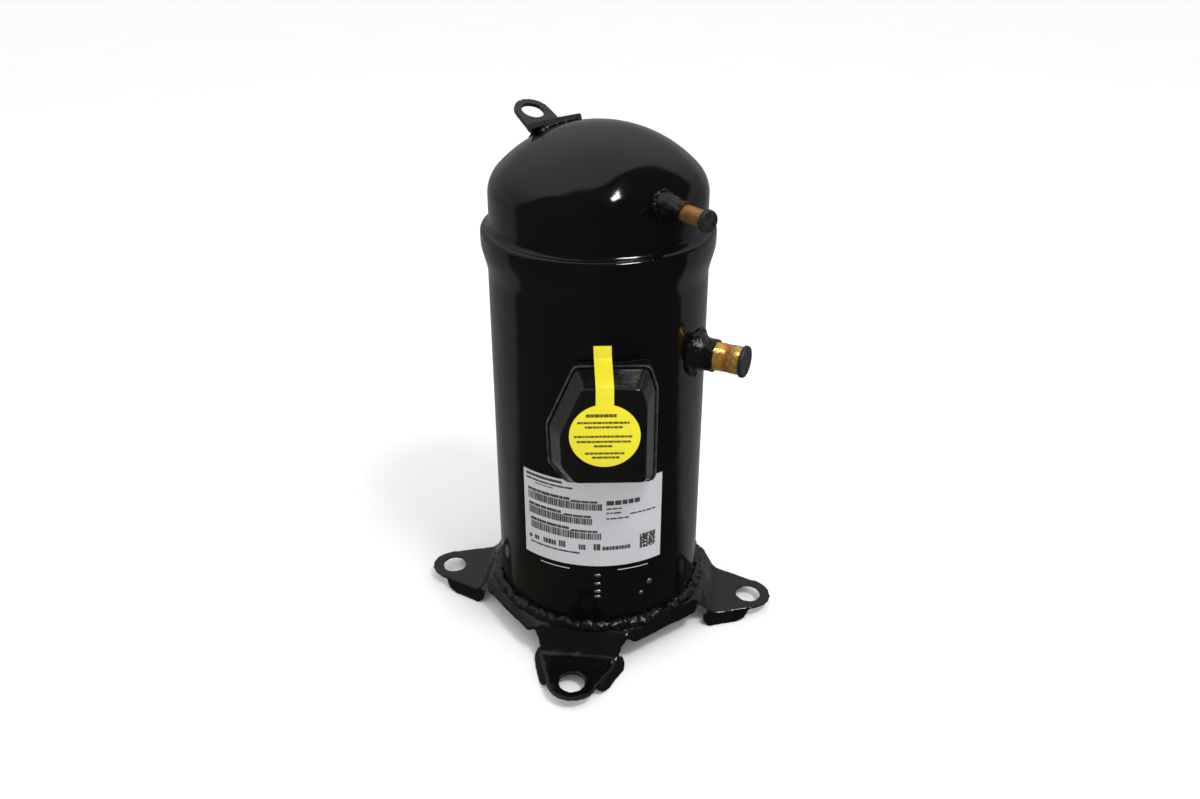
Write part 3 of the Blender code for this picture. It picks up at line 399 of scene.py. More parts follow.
def bare_copper():
    """Drawn copper tube: fine lines round it and brown oxide patches."""
    s = Shader("drawn_copper", (0.62, 0.30, 0.12), 0.34, 0.85)
    patina = s.noise(500, 5)
    stain = s.span(s.noise(210, 5), 0.42, 0.68)
    colour = s.mix(s.span(patina, 0.35, 0.65), (0.34, 0.155, 0.052), (0.52, 0.27, 0.10))
    s.set("Base Color", s.mix(s.sum(stain, 0.5, "MULTIPLY"), colour, (0.22, 0.095, 0.040)))
    s.set("Roughness", s.span(patina, 0.3, 0.7, 0.26, 0.46))
    s.bump(s.bands(1500, "Z", 0.5), 0.00004, 0.5)
    return s.material


def silver_label():
    """Foil label: brushed sheen, faint wrinkles and mottled print haze."""
    s = Shader("foil_label", (0.50, 0.51, 0.53), 0.4)
    cloud = s.noise(38, 4)
    fibre = s.noise(2200, 2, vector=s.stretched((1.0, 1.0, 0.08)))
    s.set("Base Color", s.mix(cloud, (0.45, 0.46, 0.475), (0.54, 0.55, 0.57)))
    s.set("Roughness", s.span(fibre, 0.3, 0.7, 0.34, 0.46))
    s.set("Metallic", 0.12)
    s.bump(fibre, 0.00003, 0.4)
    s.bump(s.noise(45, 3), 0.0006, 0.3)
    return s.material


def label_ink():
    """Dull print on the label, a little broken up."""
    s = Shader("label_ink", (0.05, 0.05, 0.055), 0.5)
    worn = s.span(s.noise(1600, 3), 0.35, 0.7)
    s.set("Base Color", s.mix(worn, (0.015, 0.016, 0.018), (0.08, 0.08, 0.085)))
    s.set("Roughness", s.span(worn, 0, 1, 0.4, 0.6))
    s.bump(s.noise(900, 2), 0.00002, 0.3)
    return s.material


def yellow_tag():
    """Satin yellow sheet with faint smudges and a slight grain."""
    s = Shader("yellow_sheet", (0.88, 0.78, 0.03), 0.4)
    cloud = s.noise(70, 5)
    grain = s.noise(1800, 2)
    smudge = s.span(s.noise(150, 5), 0.58, 0.75)
    colour = s.mix(cloud, (0.68, 0.59, 0.014), (0.76, 0.68, 0.026))
    s.set("Specular IOR Level", 0.25)
    s.set("Base Color", s.mix(s.sum(smudge, 0.35, "MULTIPLY"), colour, (0.62, 0.52, 0.04)))
    s.set("Roughness", s.span(grain, 0.3, 0.7, 0.34, 0.48))
    s.bump(grain, 0.00003, 0.4)
    s.bump(s.noise(40, 2), 0.0004, 0.3)
    return s.material


def tag_ink():
    s = Shader("tag_ink", (0.22, 0.19, 0.02), 0.5)
    worn = s.span(s.noise(2000, 3), 0.35, 0.7)
    s.set("Base Color", s.mix(worn, (0.05, 0.042, 0.008), (0.17, 0.145, 0.016)))
    s.set("Roughness", s.span(worn, 0, 1, 0.4, 0.6))
    s.bump(s.noise(900, 2), 0.00002, 0.3)
    return s.material


def turned_metal(name, dark, light, rough, ring_scale):
    """Machined surface: tool rings about the axis and a light oil haze."""
    s = Shader(name, light, rough, 1.0)
    haze = s.noise(60, 5)
    s.set("Base Color", s.mix(haze, dark, light))
    s.set("Roughness", s.span(s.noise(300, 3), 0.3, 0.7, rough * 0.75, rough * 1.3))
    s.bump(s.rings(ring_scale, 0.3), 0.00004, 0.4)
    s.bump(s.bands(ring_scale, "Z", 0.3), 0.00004, 0.3)
    return s.material


def cast_iron():
    s = Shader("grey_iron", (0.16, 0.16, 0.17), 0.6, 1.0)
    sand = s.noise(900, 5)
    s.set("Base Color", s.mix(s.noise(70, 5), (0.11, 0.11, 0.115), (0.22, 0.22, 0.225)))
    s.set("Roughness", s.span(sand, 0.3, 0.7, 0.48, 0.72))
    s.bump(sand, 0.0002, 0.6)
    return s.material


def cast_aluminium():
    s = Shader("cast_aluminium", (0.62, 0.63, 0.65), 0.4, 1.0)
    s.set("Base Color", s.mix(s.noise(80, 5), (0.50, 0.51, 0.53), (0.70, 0.71, 0.73)))
    s.set("Roughness", s.span(s.noise(500, 4), 0.3, 0.7, 0.30, 0.52))
    s.bump(s.noise(700, 4), 0.00012, 0.5)
    return s.material


def laminations():
    """Stack of thin electrical steel sheets: fine lines across its height."""
    s = Shader("steel_laminations", (0.28, 0.29, 0.31), 0.45, 1.0)
    sheet = s.bands(630, "Z", 0.15)
    s.set("Base Color", s.mix(sheet, (0.10, 0.10, 0.11), (0.34, 0.35, 0.37)))
    s.set("Roughness", s.span(s.noise(120, 4), 0.3, 0.7, 0.34, 0.55))
    s.bump(sheet, 0.0002, 0.7)
    return s.material


def winding_wire():
    """Enamelled wire laid side by side, laced and varnished."""
    s = Shader("winding_wire", (0.42, 0.14, 0.05), 0.3, 0.6)
    strand = s.bands(260, "DIAGONAL", 2.0)
    s.set("Base Color", s.mix(strand, (0.16, 0.045, 0.015), (0.55, 0.20, 0.07)))
    s.set("Roughness", s.span(s.noise(200, 4), 0.3, 0.7, 0.18, 0.38))
    s.bump(strand, 0.0007, 0.7)
    return s.material


def lead_sleeve():
    """Woven insulation on the motor leads."""
    s = Shader("woven_sleeve", (0.62, 0.61, 0.57), 0.6)
    weave = s.cells(1300)
    s.set("Base Color", s.mix(s.noise(200, 4), (0.50, 0.48, 0.42), (0.70, 0.69, 0.65)))
    s.set("Roughness", s.span(weave, 0.0, 0.6, 0.75, 0.5))
    s.bump(weave, 0.0003, 0.6)
    return s.material


def floor_material():
    """Pale floor. Mirror images of it are dark in front of the object and grey behind it."""
    s = Shader("pale_floor", (0.95, 0.95, 0.95), 0.9)
    s.set("Base Color", s.mix(s.noise(6, 3), (0.93, 0.93, 0.93), (0.97, 0.97, 0.97)))
    s.set("Specular IOR Level", 0.0)
    tree = s.tree
    glow = tree.nodes.new("ShaderNodeEmission")
    distance = tree.nodes.new("ShaderNodeVectorMath")
    distance.operation = "DOT_PRODUCT"
    s.put(distance.inputs[0], s.place)
    distance.inputs[1].default_value = VIEW_AWAY
    right = tree.nodes.new("ShaderNodeVectorMath")
    right.operation = "DOT_PRODUCT"
    s.put(right.inputs[0], s.place)
    right.inputs[1].default_value = VIEW_RIGHT
    front = s.mix(s.span(right.outputs["Value"], -0.12, 0.10), DARK_LEFT, DARK_RIGHT)
    s.put(glow.inputs["Color"], s.mix(s.span(distance.outputs["Value"], -0.03, 0.02), front, LIGHT_SIDE))
    path = tree.nodes.new("ShaderNodeLightPath")
    blend = tree.nodes.new("ShaderNodeMixShader")
    s.put(blend.inputs["Fac"], path.outputs["Is Glossy Ray"])
    tree.links.new(s.surface.outputs[0], blend.inputs[1])
    tree.links.new(glow.outputs[0], blend.inputs[2])
    tree.links.new(blend.outputs[0], tree.nodes["Material Output"].inputs["Surface"])
    return s.material


SLOT_MATERIALS = {
    "black_paint": black_paint(),
    "black_plastic": black_plastic(),
    "black_rubber": black_rubber(),
    "brassy_copper": suction_copper(),
    "copper": bare_copper(),
    "silver_label": silver_label(),
    "yellow_tag": yellow_tag(),
    "cast_iron": cast_iron(),
    "machined_steel": turned_metal("machined_steel", (0.36, 0.37, 0.39), (0.52, 0.53, 0.55), 0.28, 1200),
    "aluminium": cast_aluminium(),
    "lamination_steel": laminations(),
    "enamelled_copper": winding_wire(),
    "brass": turned_metal("bearing_bronze", (0.46, 0.32, 0.12), (0.66, 0.50, 0.22), 0.32, 900),
    "white_plastic": lead_sleeve(),
}
THICK_PAINT = thick_paint()
BRACKET_PAINT = bracket_paint()
RIM_PAINT = rim_paint()
WELD_PAINT = weld_paint()
# Pale metal on the small shell domes: a painted glint, not bare steel.
GLINT_METAL = turned_metal("painted_glint_metal", (0.55, 0.56, 0.57), (0.80, 0.81, 0.82), 0.30, 300)
LABEL_INK = label_ink()
TAG_INK = tag_ink()


# ---------------------------------------------------------------- mesh helpers


def show(name, bm, material, body="shell", stands_for=(), matrix=None):
    """Makes a shaded piece that rides on a body and stands for CAD nodes."""
    bmesh.ops.recalc_face_normals(bm, faces=bm.faces)
    mesh = bpy.data.meshes.new(name)
    bm.to_mesh(mesh)
    bm.free()
    mesh.shade_smooth()
    mesh.set_sharp_from_angle(angle=math.radians(38))
    mesh.materials.append(material)
    obj = bpy.data.objects.new(name, mesh)
    if matrix is not None:
        obj.matrix_world = matrix
    bpy.context.scene.collection.objects.link(obj)
    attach(obj, body)
    if stands_for:
        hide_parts(*stands_for)
    return obj


def rounded_edges(obj, width, segments, degrees):
    """Bevel on every edge sharper than that angle."""
    bevel = obj.modifiers.new("edges", "BEVEL")
    bevel.width = width
    bevel.segments = segments
    bevel.limit_method = "ANGLE"
    bevel.angle_limit = math.radians(degrees)
    bevel.use_clamp_overlap = True


def turned(profile, segments):
    """A closed outline of (radius, height) points turned all the way round the Z axis."""
    bm = bmesh.new()
    rows = []
    for k in range(segments):
        angle = 2 * math.pi * k / segments
        c, s = math.cos(angle), math.sin(angle)
        rows.append([bm.verts.new((r * c, r * s, z)) for r, z in profile])
    count = len(profile)
    for k in range(segments):
        first, second = rows[k], rows[(k + 1) % segments]
        for p in range(count):
            q = (p + 1) % count
            bm.faces.new((first[p], second[p], second[q], first[q]))
    bmesh.ops.remove_doubles(bm, verts=bm.verts, dist=1e-6)
    return bm


def arc(centre_u, centre_v, radius, start, end, steps):
    """Points on a circle between two angles in degrees."""
    angles = [math.radians(start + (end - start) * k / steps) for k in range(steps + 1)]
    return [(centre_u + radius * math.cos(a), centre_v + radius * math.sin(a)) for a in angles]


def outwards(azimuth, height):
    """Matrix that turns a piece's own Z axis to point out of the shell, its own Y staying sideways."""
    turn = Matrix.Rotation(azimuth, 4, "Z") @ Matrix.Rotation(math.pi / 2, 4, "Y")
    return Matrix.Translation((0, 0, height)) @ turn


def bump_noise(spot, scale):
    """Smooth noise of about plus and minus one, with finer noise on top."""
    return noise.fractal(Vector(spot) * scale, 1.0, 2.0, 3)


def eased(t):
    """Ramp from 0 to 1 that starts and ends level."""
    t = min(1.0, max(0.0, t))
    return t * t * (3 - 2 * t)


def dome_points(offset=0.0, steps=10):
    """Outside of the cap from its skirt to the axis, as (radius, height)."""
    knuckle_centre = CAP_R - KNUCKLE_R
    drop = math.sqrt((CROWN_R - KNUCKLE_R) ** 2 - knuckle_centre**2)
    meet = math.degrees(math.atan2(drop, knuckle_centre))
    knuckle = arc(knuckle_centre, DOME_Z, KNUCKLE_R + offset, 0, meet, steps)
    crown = arc(0, DOME_Z - drop, CROWN_R + offset, meet, 90, 2 * steps)
    return knuckle + crown[1:-1] + [(0, DOME_Z - drop + CROWN_R + offset)]


def outside_radius(z):
    """Radius of the compressor's outside at a height, before the dish is pressed in."""
    if z <= FLARE_LOW_Z:
        return SHELL_R
    if z <= FLARE_HIGH_Z:
        share = (z - FLARE_LOW_Z) / (FLARE_HIGH_Z - FLARE_LOW_Z)
        return SHELL_R + (BELL_R - SHELL_R) * (0.45 * eased(share) + 0.55 * share)
    if z <= BELL_TOP_Z:
        return BELL_R
    if z <= DOME_Z:
        return CAP_R
    centre = CAP_R - KNUCKLE_R
    drop = math.sqrt((CROWN_R - KNUCKLE_R) ** 2 - centre**2)
    if z - DOME_Z < KNUCKLE_R * math.sin(math.atan2(drop, centre)):
        return centre + math.sqrt(KNUCKLE_R**2 - (z - DOME_Z) ** 2)
    return math.sqrt(max(0.0, CROWN_R**2 - (z - DOME_Z + drop) ** 2))


def surface_depth(matrix, sideways, up):
    """Depth along a stub's axis at which a line parallel to it leaves the compressor's surface."""
    low, high = 0.0, 0.13
    for _ in range(30):
        middle = (low + high) / 2
        spot = matrix @ Vector((-up, sideways, middle))
        inside = math.hypot(spot.x, spot.y) < outside_radius(spot.z) - cap_pocket(spot)
        low, high = (middle, high) if inside else (low, middle)
    return low


def bead(name, path, size, material, body="shell", lump=0.35, pitch=0.0035, closed=True):
    """Weld bead along a path: a tube with overlapping ripples and uneven lumps."""
    count = len(path)
    around = 12
    bm = bmesh.new()
    rows = []
    travelled = 0.0
    for k in range(count):
        here = path[k]
        after = path[(k + 1) % count] if closed else path[min(k + 1, count - 1)]
        before = path[k - 1] if closed or k else path[0]
        along = (after - before).normalized()
        out = Vector((here.x, here.y, 0)).normalized()
        side = along.cross(out).normalized()
        out = side.cross(along).normalized()
        travelled += (after - here).length
        ripple = abs(math.sin(math.pi * travelled / pitch))
        row = []
        for a in range(around):
            angle = 2 * math.pi * a / around
            way = out * math.cos(angle) + side * math.sin(angle)
            spot = here + way * size
            swell = 1 + lump * (0.35 * ripple + 1.1 * bump_noise(spot, 190))
            ends = 1.0 if closed else eased(min(k, count - 1 - k) / 4)
            row.append(bm.verts.new(here + way * size * swell * max(0.05, ends)))
        rows.append(row)
    spans = count if closed else count - 1
    for k in range(spans):
        first, second = rows[k], rows[(k + 1) % count]
        for a in range(around):
            b = (a + 1) % around
            bm.faces.new((first[a], first[b], second[b], second[a]))
    if not closed:
        bm.faces.new(rows[0])
        bm.faces.new(rows[-1])
    obj = show(name, bm, material, body)
    obj.data.shade_smooth()
    return obj


def softened(name, node, material, body="shell", voxel=0.0009, passes=6, rough=0.0):
    """A CAD solid remeshed finely and smoothed, so that its edges are round and its faces slightly uneven."""
    source = frame["nodes"][node]
    work = bpy.data.objects.new(name + "_work", source.data.copy())
    bpy.context.scene.collection.objects.link(work)
    weld = work.modifiers.new("weld", "WELD")
    weld.merge_threshold = 1e-6
    remesh = work.modifiers.new("remesh", "REMESH")
    remesh.mode = "VOXEL"
    remesh.voxel_size = voxel
    smooth = work.modifiers.new("smooth", "SMOOTH")
    smooth.factor = 0.5
    smooth.iterations = passes
    graph = bpy.context.evaluated_depsgraph_get()
    bm = bmesh.new()
    bm.from_mesh(work.evaluated_get(graph).to_mesh())
    bpy.data.objects.remove(work)
    if rough:
        uneven(bm, rough, 55)
    obj = show(name, bm, material, body, (node,))
    obj.data.shade_smooth()
    return obj


# ---------------------------------------------------------------- shell


def build_shell():
    """Rolled tube with a swaged bell, drawn as one wall."""
    outer = []
    steps = 90
    for k in range(steps + 1):
        z = SHELL_LOW_Z + (BELL_TOP_Z - BELL_EDGE_R - SHELL_LOW_Z) * k / steps
        outer.append((outside_radius(z), z))
    inner = [(r - WALL, z) for r, z in reversed(outer)]
    outer += arc(BELL_R - BELL_EDGE_R, BELL_TOP_Z - BELL_EDGE_R, BELL_EDGE_R, 0, 90, 8)[1:]
    inner = [(BELL_R - BELL_EDGE_R - 0.0004, BELL_TOP_Z)] + inner
    show("shell_wall", turned(outer + inner, FINE), SLOT_MATERIALS["black_paint"],
         stands_for=("centre_shell",))


def cap_pocket(spot):
    """How far a point on the cap is pressed in: a dish with a soft ridge, deepest at the discharge stub."""
    axis = Vector((math.cos(DISCHARGE_AZ), math.sin(DISCHARGE_AZ), 0))
    side = Vector((-axis.y, axis.x, 0))
    across = spot.dot(side)
    up = spot.z - DISCHARGE_Z
    if spot.dot(axis) < 0:
        return 0.0
    width = DISH_FRONT if across < 0 else DISH_BACK
    height = DISH_ABOVE if up > 0 else DISH_BELOW
    rise = 1 - math.hypot(across / width, up / height)
    return DISH_DEPTH * (rise + math.hypot(rise, DISH_SOFTNESS)) / 2


def build_cap():
    """Domed cap with its skirt in the bell, drawn as one wall and pressed in round the discharge stub."""
    rows = 24
    skirt = [(CAP_R, CAP_LOW_Z + (DOME_Z - CAP_LOW_Z) * k / rows) for k in range(rows)]
    outer = skirt + dome_points(0, 22)
    inner = [(r - WALL, z) for r, z in reversed(skirt)]
    lining = dome_points(-WALL, 6)[::-1]
    bm = turned(outer + lining + inner, FINE)
    for vert in bm.verts:
        if vert.co.z > BELL_TOP_Z:
            vert.co -= Vector((vert.co.x, vert.co.y, 0)).normalized() * cap_pocket(vert.co)
    obj = show("shell_cap", bm, SLOT_MATERIALS["black_paint"], stands_for=("top_cap",))
    obj.data.shade_smooth()


def ring_path(radius, z, steps, wobble):
    """Circle round the shell that wanders in and out and, a little less, up and down."""
    path = []
    for k in range(steps):
        angle = 2 * math.pi * k / steps
        spot = Vector((radius * math.cos(angle), radius * math.sin(angle), z))
        drift = wobble * bump_noise(spot, 38)
        path.append(spot + drift * Vector((math.cos(angle), math.sin(angle), 0.6)))
    return path


def build_ring_welds():
    """Weld bead on the mounting plate, and the painted-over fillet between the bell and the cap."""
    path = ring_path(SHELL_R + 0.0020, SHELL_LOW_Z + 0.0007, 520, 0.0016)
    bead("base_weld", path, 0.0046, WELD_PAINT, lump=0.32, pitch=0.011)
    back = CAP_R - 0.001
    foot = BELL_R - BELL_EDGE_R
    fillet = [(back, BELL_TOP_Z - 0.003), (foot, BELL_TOP_Z - 0.003), (foot + 0.0004, BELL_TOP_Z - 0.0001)]
    for out, up in ((0.0026, 0.0003), (0.0014, 0.0012), (0.0006, 0.0025), (0.0001, 0.0048)):
        fillet.append((CAP_R + out, BELL_TOP_Z + up))
    fillet.append((back, BELL_TOP_Z + 0.0048))
    ring = turned(fillet, FINE)
    uneven(ring, 0.0003, 45)
    show("bell_weld", ring, SLOT_MATERIALS["black_paint"]).data.shade_smooth()


def build_plate():
    """Stamped mounting plate and the cap that closes the shell's foot."""
    softened("plate_sheet", "mounting_plate", THICK_PAINT,
             voxel=0.0013, passes=16, rough=0.0006)
    softened("sump_cap", "bottom_cap", THICK_PAINT, voxel=0.0014, passes=4)


def build_bracket():
    """Bent lifting ear with a weld bead on either side of its foot."""
    softened("lifting_bracket", "lifting_ear", BRACKET_PAINT, voxel=0.0005, passes=5)
    turn = Matrix.Rotation(EAR_AZ, 4, "Z")
    last = 39
    for name, reach in EAR_WELDS.items():
        path = []
        for k in range(last + 1):
            across = EAR_SIDEWAYS - EAR_WELD_HALF + 2 * EAR_WELD_HALF * k / last
            height = DOME_Z + dome_height(math.hypot(reach, across))
            path.append(turn @ Vector((reach, across, height + 0.0006)))
        bead(f"bracket_weld_{name}", path, 0.0015, WELD_PAINT, closed=False, pitch=0.003)


def dome_height(radius):
    """Height of the crown above the dome's base at a radius."""
    centre = CAP_R - KNUCKLE_R
    drop = math.sqrt((CROWN_R - KNUCKLE_R) ** 2 - centre**2)
    return math.sqrt(CROWN_R**2 - radius**2) - drop


# ---------------------------------------------------------------- stubs


def stub_weld(name, azimuth, height, radius, size):
    """Bead where a stub's neck meets the shell or the cap."""
    place = outwards(azimuth, height)
    path = []
    steps = 160
    for k in range(steps):
        angle = 2 * math.pi * k / steps
        sideways, up = radius * math.sin(angle), radius * math.cos(angle)
        depth = surface_depth(place, sideways, up)
        path.append(place @ Vector((-up, sideways, depth + 0.0002)))
    bead(name, path, size, WELD_PAINT, lump=0.5)


def build_suction_stub():
    """Neck, weld, tube and stopper on the shell's right side."""
    place = outwards(SUCTION_AZ, SUCTION_Z)
    neck = [(SUCTION_NECK, 0.080), (0.0180, 0.080), (0.0178, 0.0862), (0.0158, 0.0886), (0.0139, 0.0916)]
    neck += [(0.0129, 0.0945), (0.0126, 0.0975), (0.0128, 0.1010), (0.0124, 0.1022), (SUCTION_NECK, 0.1023)]
    bm = turned(neck, ROUND)
    uneven(bm, 0.0007, 240)
    show("suction_neck", bm, WELD_PAINT, stands_for=("suction_fitting",), matrix=place)
    stub_weld("suction_weld", SUCTION_AZ, SUCTION_Z, 0.0172, 0.0021)
    start, end = SUCTION_BAND
    wall = [(SUCTION_BORE, 0.0830), (SUCTION_TUBE_R, 0.0830), (SUCTION_TUBE_R, start)]
    wall += [(0.01085, start + 0.0004), (0.01085, end - 0.0004), (SUCTION_TUBE_R, end)]
    wall += [(SUCTION_TUBE_R, 0.1220), (0.0108, 0.1226), (SUCTION_BORE, 0.1226)]
    show("suction_pipe", turned(wall, ROUND), SLOT_MATERIALS["brassy_copper"],
         stands_for=("suction_tube",), matrix=place)
    plug = [(0, 0.1090), (0.0088, 0.1090), (0.0100, 0.1100), (0.0100, 0.1229), (0.0112, 0.1229)]
    plug += [(0.0124, 0.1233), (0.0126, 0.1242), (0.0125, 0.1254), (0.0119, 0.1263), (0.0108, 0.1265)]
    plug += [(0.0090, 0.1261), (0.0040, 0.1260), (0, 0.1260)]
    show("suction_stopper", turned(plug, ROUND), SLOT_MATERIALS["black_rubber"],
         "suction_cap", ("suction_plug",), place)


def build_discharge_stub():
    """Neck, weld, tube and stopper low on the cap."""
    place = outwards(DISCHARGE_AZ, DISCHARGE_Z)
    neck = [(DISCHARGE_NECK, 0.072), (0.0096, 0.072), (0.0096, 0.0826), (0.0088, 0.0845), (0.0082, 0.0870)]
    neck += [(0.0077, 0.0905), (0.0077, 0.0965), (0.0079, 0.0978), (0.0075, 0.0985), (DISCHARGE_NECK, 0.0985)]
    bm = turned(neck, ROUND)
    uneven(bm, 0.0009, 320)
    show("discharge_neck", bm, WELD_PAINT, stands_for=("discharge_fitting",), matrix=place)
    stub_weld("discharge_weld", DISCHARGE_AZ, DISCHARGE_Z, 0.0094, 0.0017)
    wall = [(DISCHARGE_BORE, 0.0745), (DISCHARGE_TUBE_R, 0.0745), (DISCHARGE_TUBE_R, 0.1170)]
    wall += [(0.00605, 0.1175), (DISCHARGE_BORE, 0.1175)]
    show("discharge_pipe", turned(wall, ROUND), SLOT_MATERIALS["copper"],
         stands_for=("discharge_tube",), matrix=place)
    plug = [(0, 0.1055), (0.0044, 0.1055), (0.00525, 0.1062), (0.00525, 0.1178), (0.0070, 0.1178)]
    plug += [(0.0079, 0.1182), (0.0081, 0.1190), (0.0080, 0.1208), (0.0075, 0.1219), (0.0066, 0.1222)]
    plug += [(0.0050, 0.1218), (0, 0.1217)]
    show("discharge_stopper", turned(plug, ROUND), SLOT_MATERIALS["black_rubber"],
         "discharge_cap", ("discharge_plug",), place)


def uneven(bm, depth, scale):
    """Moves each point in or out along its normal by smooth noise."""
    bm.normal_update()
    for vert in bm.verts:
        vert.co += vert.normal * depth * bump_noise(vert.co, scale)


# ---------------------------------------------------------------- terminal box, tag and label


def build_box():
    """Rim of the terminal box and its moulded cover."""
    softened("fence_rim", "terminal_fence", RIM_PAINT, voxel=0.0004, passes=3)
    softened("cover_moulding", "terminal_cover", SLOT_MATERIALS["black_plastic"], "cover",
             voxel=0.0008, passes=40)


def tag_rows():
    """Strip of the tag from the shell down to the disc, as (depth, height, sideways middle)."""
    front = COVER_FRONT + 0.0003 + TAG_T / 2
    corners = [(0.0870, 0.2858), (0.0870, 0.2762), (0.0915, 0.2730), (0.1060, 0.2688), (front, 0.2648)]
    count = len(corners) - 1
    return [(x, z, TAG_SIDEWAYS - TAG_LEAN * (1 - k / count)) for k, (x, z) in enumerate(corners)]


def build_tag():
    """Strip and disc in one sheet, stuck on the shell above the cover and lying on the cover's front."""
    front = COVER_FRONT + 0.0003 + TAG_T / 2
    bm = bmesh.new()
    rows = []
    for x, z, middle in tag_rows():
        rows.append([bm.verts.new((x, middle + side * TAG_STRIP_HALF, z)) for side in (-1, 1)])
    gap = math.degrees(math.asin(TAG_STRIP_HALF / TAG_DISC_R))
    disc = arc(TAG_SIDEWAYS, TAG_DISC_Z, TAG_DISC_R, 90 + gap, 450 - gap, 90)
    rim = [bm.verts.new((front, y, z)) for y, z in disc]
    rows.append([rim[0], rim[-1]])
    for upper, lower in zip(rows, rows[1:]):
        bm.faces.new((upper[0], upper[1], lower[1], lower[0]))
    bm.faces.new(rim)
    turn = Matrix.Rotation(BOX_AZ, 4, "Z")
    tag = show("tag_sheet", bm, SLOT_MATERIALS["yellow_tag"], "cover", ("seal_tag",), turn)
    sheet = tag.modifiers.new("sheet", "SOLIDIFY")
    sheet.thickness = TAG_T
    sheet.offset = 0
    rounded_edges(tag, 0.00015, 2, 50)
    build_tag_print(front + TAG_T / 2 + 0.00006, turn)


def flat_marks(marks, place):
    """One mesh of small rectangles; place turns (across, up) into a point."""
    bm = bmesh.new()
    for left, right, low, high in marks:
        steps = max(1, math.ceil((right - left) / 0.003))
        for k in range(steps):
            a = left + (right - left) * k / steps
            b = left + (right - left) * (k + 1) / steps
            corners = [place(a, low), place(b, low), place(b, high), place(a, high)]
            bm.faces.new([bm.verts.new(corner) for corner in corners])
    return bm


def dashed_line(chance, left, right, low, high, shortest, longest, gap):
    """Word-like dashes that fill a line of print."""
    marks = []
    start = left
    while start < right - shortest:
        length = min(chance.uniform(shortest, longest), right - start)
        marks.append((start, start + length, low, high))
        start += length + gap
    return marks


def build_tag_print(depth, turn):
    """One bold bar and seven thinner generic lines on the disc."""
    chance = random.Random(7)
    marks = dashed_line(chance, -0.0137, 0.0108, 0.0157, 0.0184, 0.002, 0.005, 0.0003)
    for up, left, right in TAG_LINES:
        marks += dashed_line(chance, left, right, up, up + 0.0018, 0.0012, 0.0042, 0.0004)
    bm = flat_marks(marks, lambda y, z: (depth, TAG_SIDEWAYS + y, TAG_DISC_Z + z))
    show("tag_print", bm, TAG_INK, "cover", matrix=turn)


def label_bars(chance, low, left, right):
    """One row of upright bars under two lines of print, its last stretch lower than the rest."""
    step = right - 0.024
    marks = dashed_line(chance, left, step, low + 0.0078, low + 0.0104, 0.003, 0.009, 0.0004)
    marks += dashed_line(chance, step + 0.001, right, low + 0.0066, low + 0.0086, 0.003, 0.008, 0.0004)
    spot = left
    while spot < right:
        bar = chance.choice((0.0007, 0.0011, 0.0016))
        tall = 0.0070 if spot < step else 0.0060
        marks.append((spot, spot + bar, low, low + tall))
        spot += bar + chance.choice((0.0003, 0.0004, 0.0005))
    return marks


def label_dots(chance):
    """Square of random dots that stands for a printed code and holds nothing."""
    marks = []
    for row in range(DOT_COUNT):
        for column in range(DOT_COUNT):
            if chance.random() < 0.72 or column % 3 == 0:
                left = DOT_SQUARE[0] + column * DOT_SIDE
                low = DOT_SQUARE[1] + row * DOT_SIDE
                marks.append((left, left + DOT_SIDE, low, low + DOT_SIDE))
    return marks


def label_marks():
    """Generic bars, lines and blocks as (left, right, low, high) from the label's lower left corner."""
    chance = random.Random(11)
    marks = [(0.003, 0.036, 0.0752, 0.0776)]
    marks += dashed_line(chance, 0.003, 0.046, 0.0715, 0.0732, 0.003, 0.009, 0.0005)
    marks += dashed_line(chance, 0.012, 0.030, 0.0690, 0.0700, 0.002, 0.005, 0.0006)
    for low, left, right in LABEL_BAR_ROWS:
        marks += label_bars(chance, low, left, right)
    marks += dashed_line(chance, 0.071, 0.099, 0.0580, 0.0622, 0.0024, 0.0062, 0.0008)
    for low, left, right in LABEL_LINES:
        marks += dashed_line(chance, left, right, low, low + 0.0014, 0.002, 0.006, 0.0007)
    marks += label_dots(chance)
    for left, right, tall in LABEL_BLOCKS:
        high = LABEL_BLOCKS_Z + tall
        marks += dashed_line(chance, left, right, LABEL_BLOCKS_Z, high, 0.0012, 0.0030, 0.0004)
    marks += dashed_line(chance, 0.0055, 0.050, 0.0112, 0.0128, 0.003, 0.009, 0.0006)
    return marks


def build_label():
    """Foil sheet round the shell, its print, and two pale dashes on the shell just below it."""
    width = LABEL_END - LABEL_START
    inner = SHELL_R + 0.00025
    bm = bmesh.new()
    steps = 80
    rows = []
    for k in range(steps + 1):
        angle = LABEL_START + width * k / steps
        c, s = math.cos(angle), math.sin(angle)
        corners = [(inner, LABEL_LOW_Z), (inner + 0.0003, LABEL_LOW_Z), (inner + 0.0003, LABEL_HIGH_Z),
                   (inner, LABEL_HIGH_Z)]
        rows.append([bm.verts.new((r * c, r * s, z)) for r, z in corners])
    for first, second in zip(rows, rows[1:]):
        for a in range(4):
            b = (a + 1) % 4
            bm.faces.new((first[a], first[b], second[b], second[a]))
    bm.faces.new(rows[0])
    bm.faces.new(rows[-1])
    show("label_sheet", bm, SLOT_MATERIALS["silver_label"], stands_for=("rating_label",))
    radius = inner + 0.00036

    def place(across, up):
        angle = LABEL_START + across / SHELL_R
        return (radius * math.cos(angle), radius * math.sin(angle), LABEL_LOW_Z + up)

    show("label_print", flat_marks(label_marks(), place), LABEL_INK)
    reach = SHELL_R * width
    dashes = [(start * reach, end * reach, -0.0048, -0.0040) for start, end in ((0.13, 0.35), (0.68, 0.90))]
    show("shell_dashes", flat_marks(dashes, place), SLOT_MATERIALS["silver_label"])


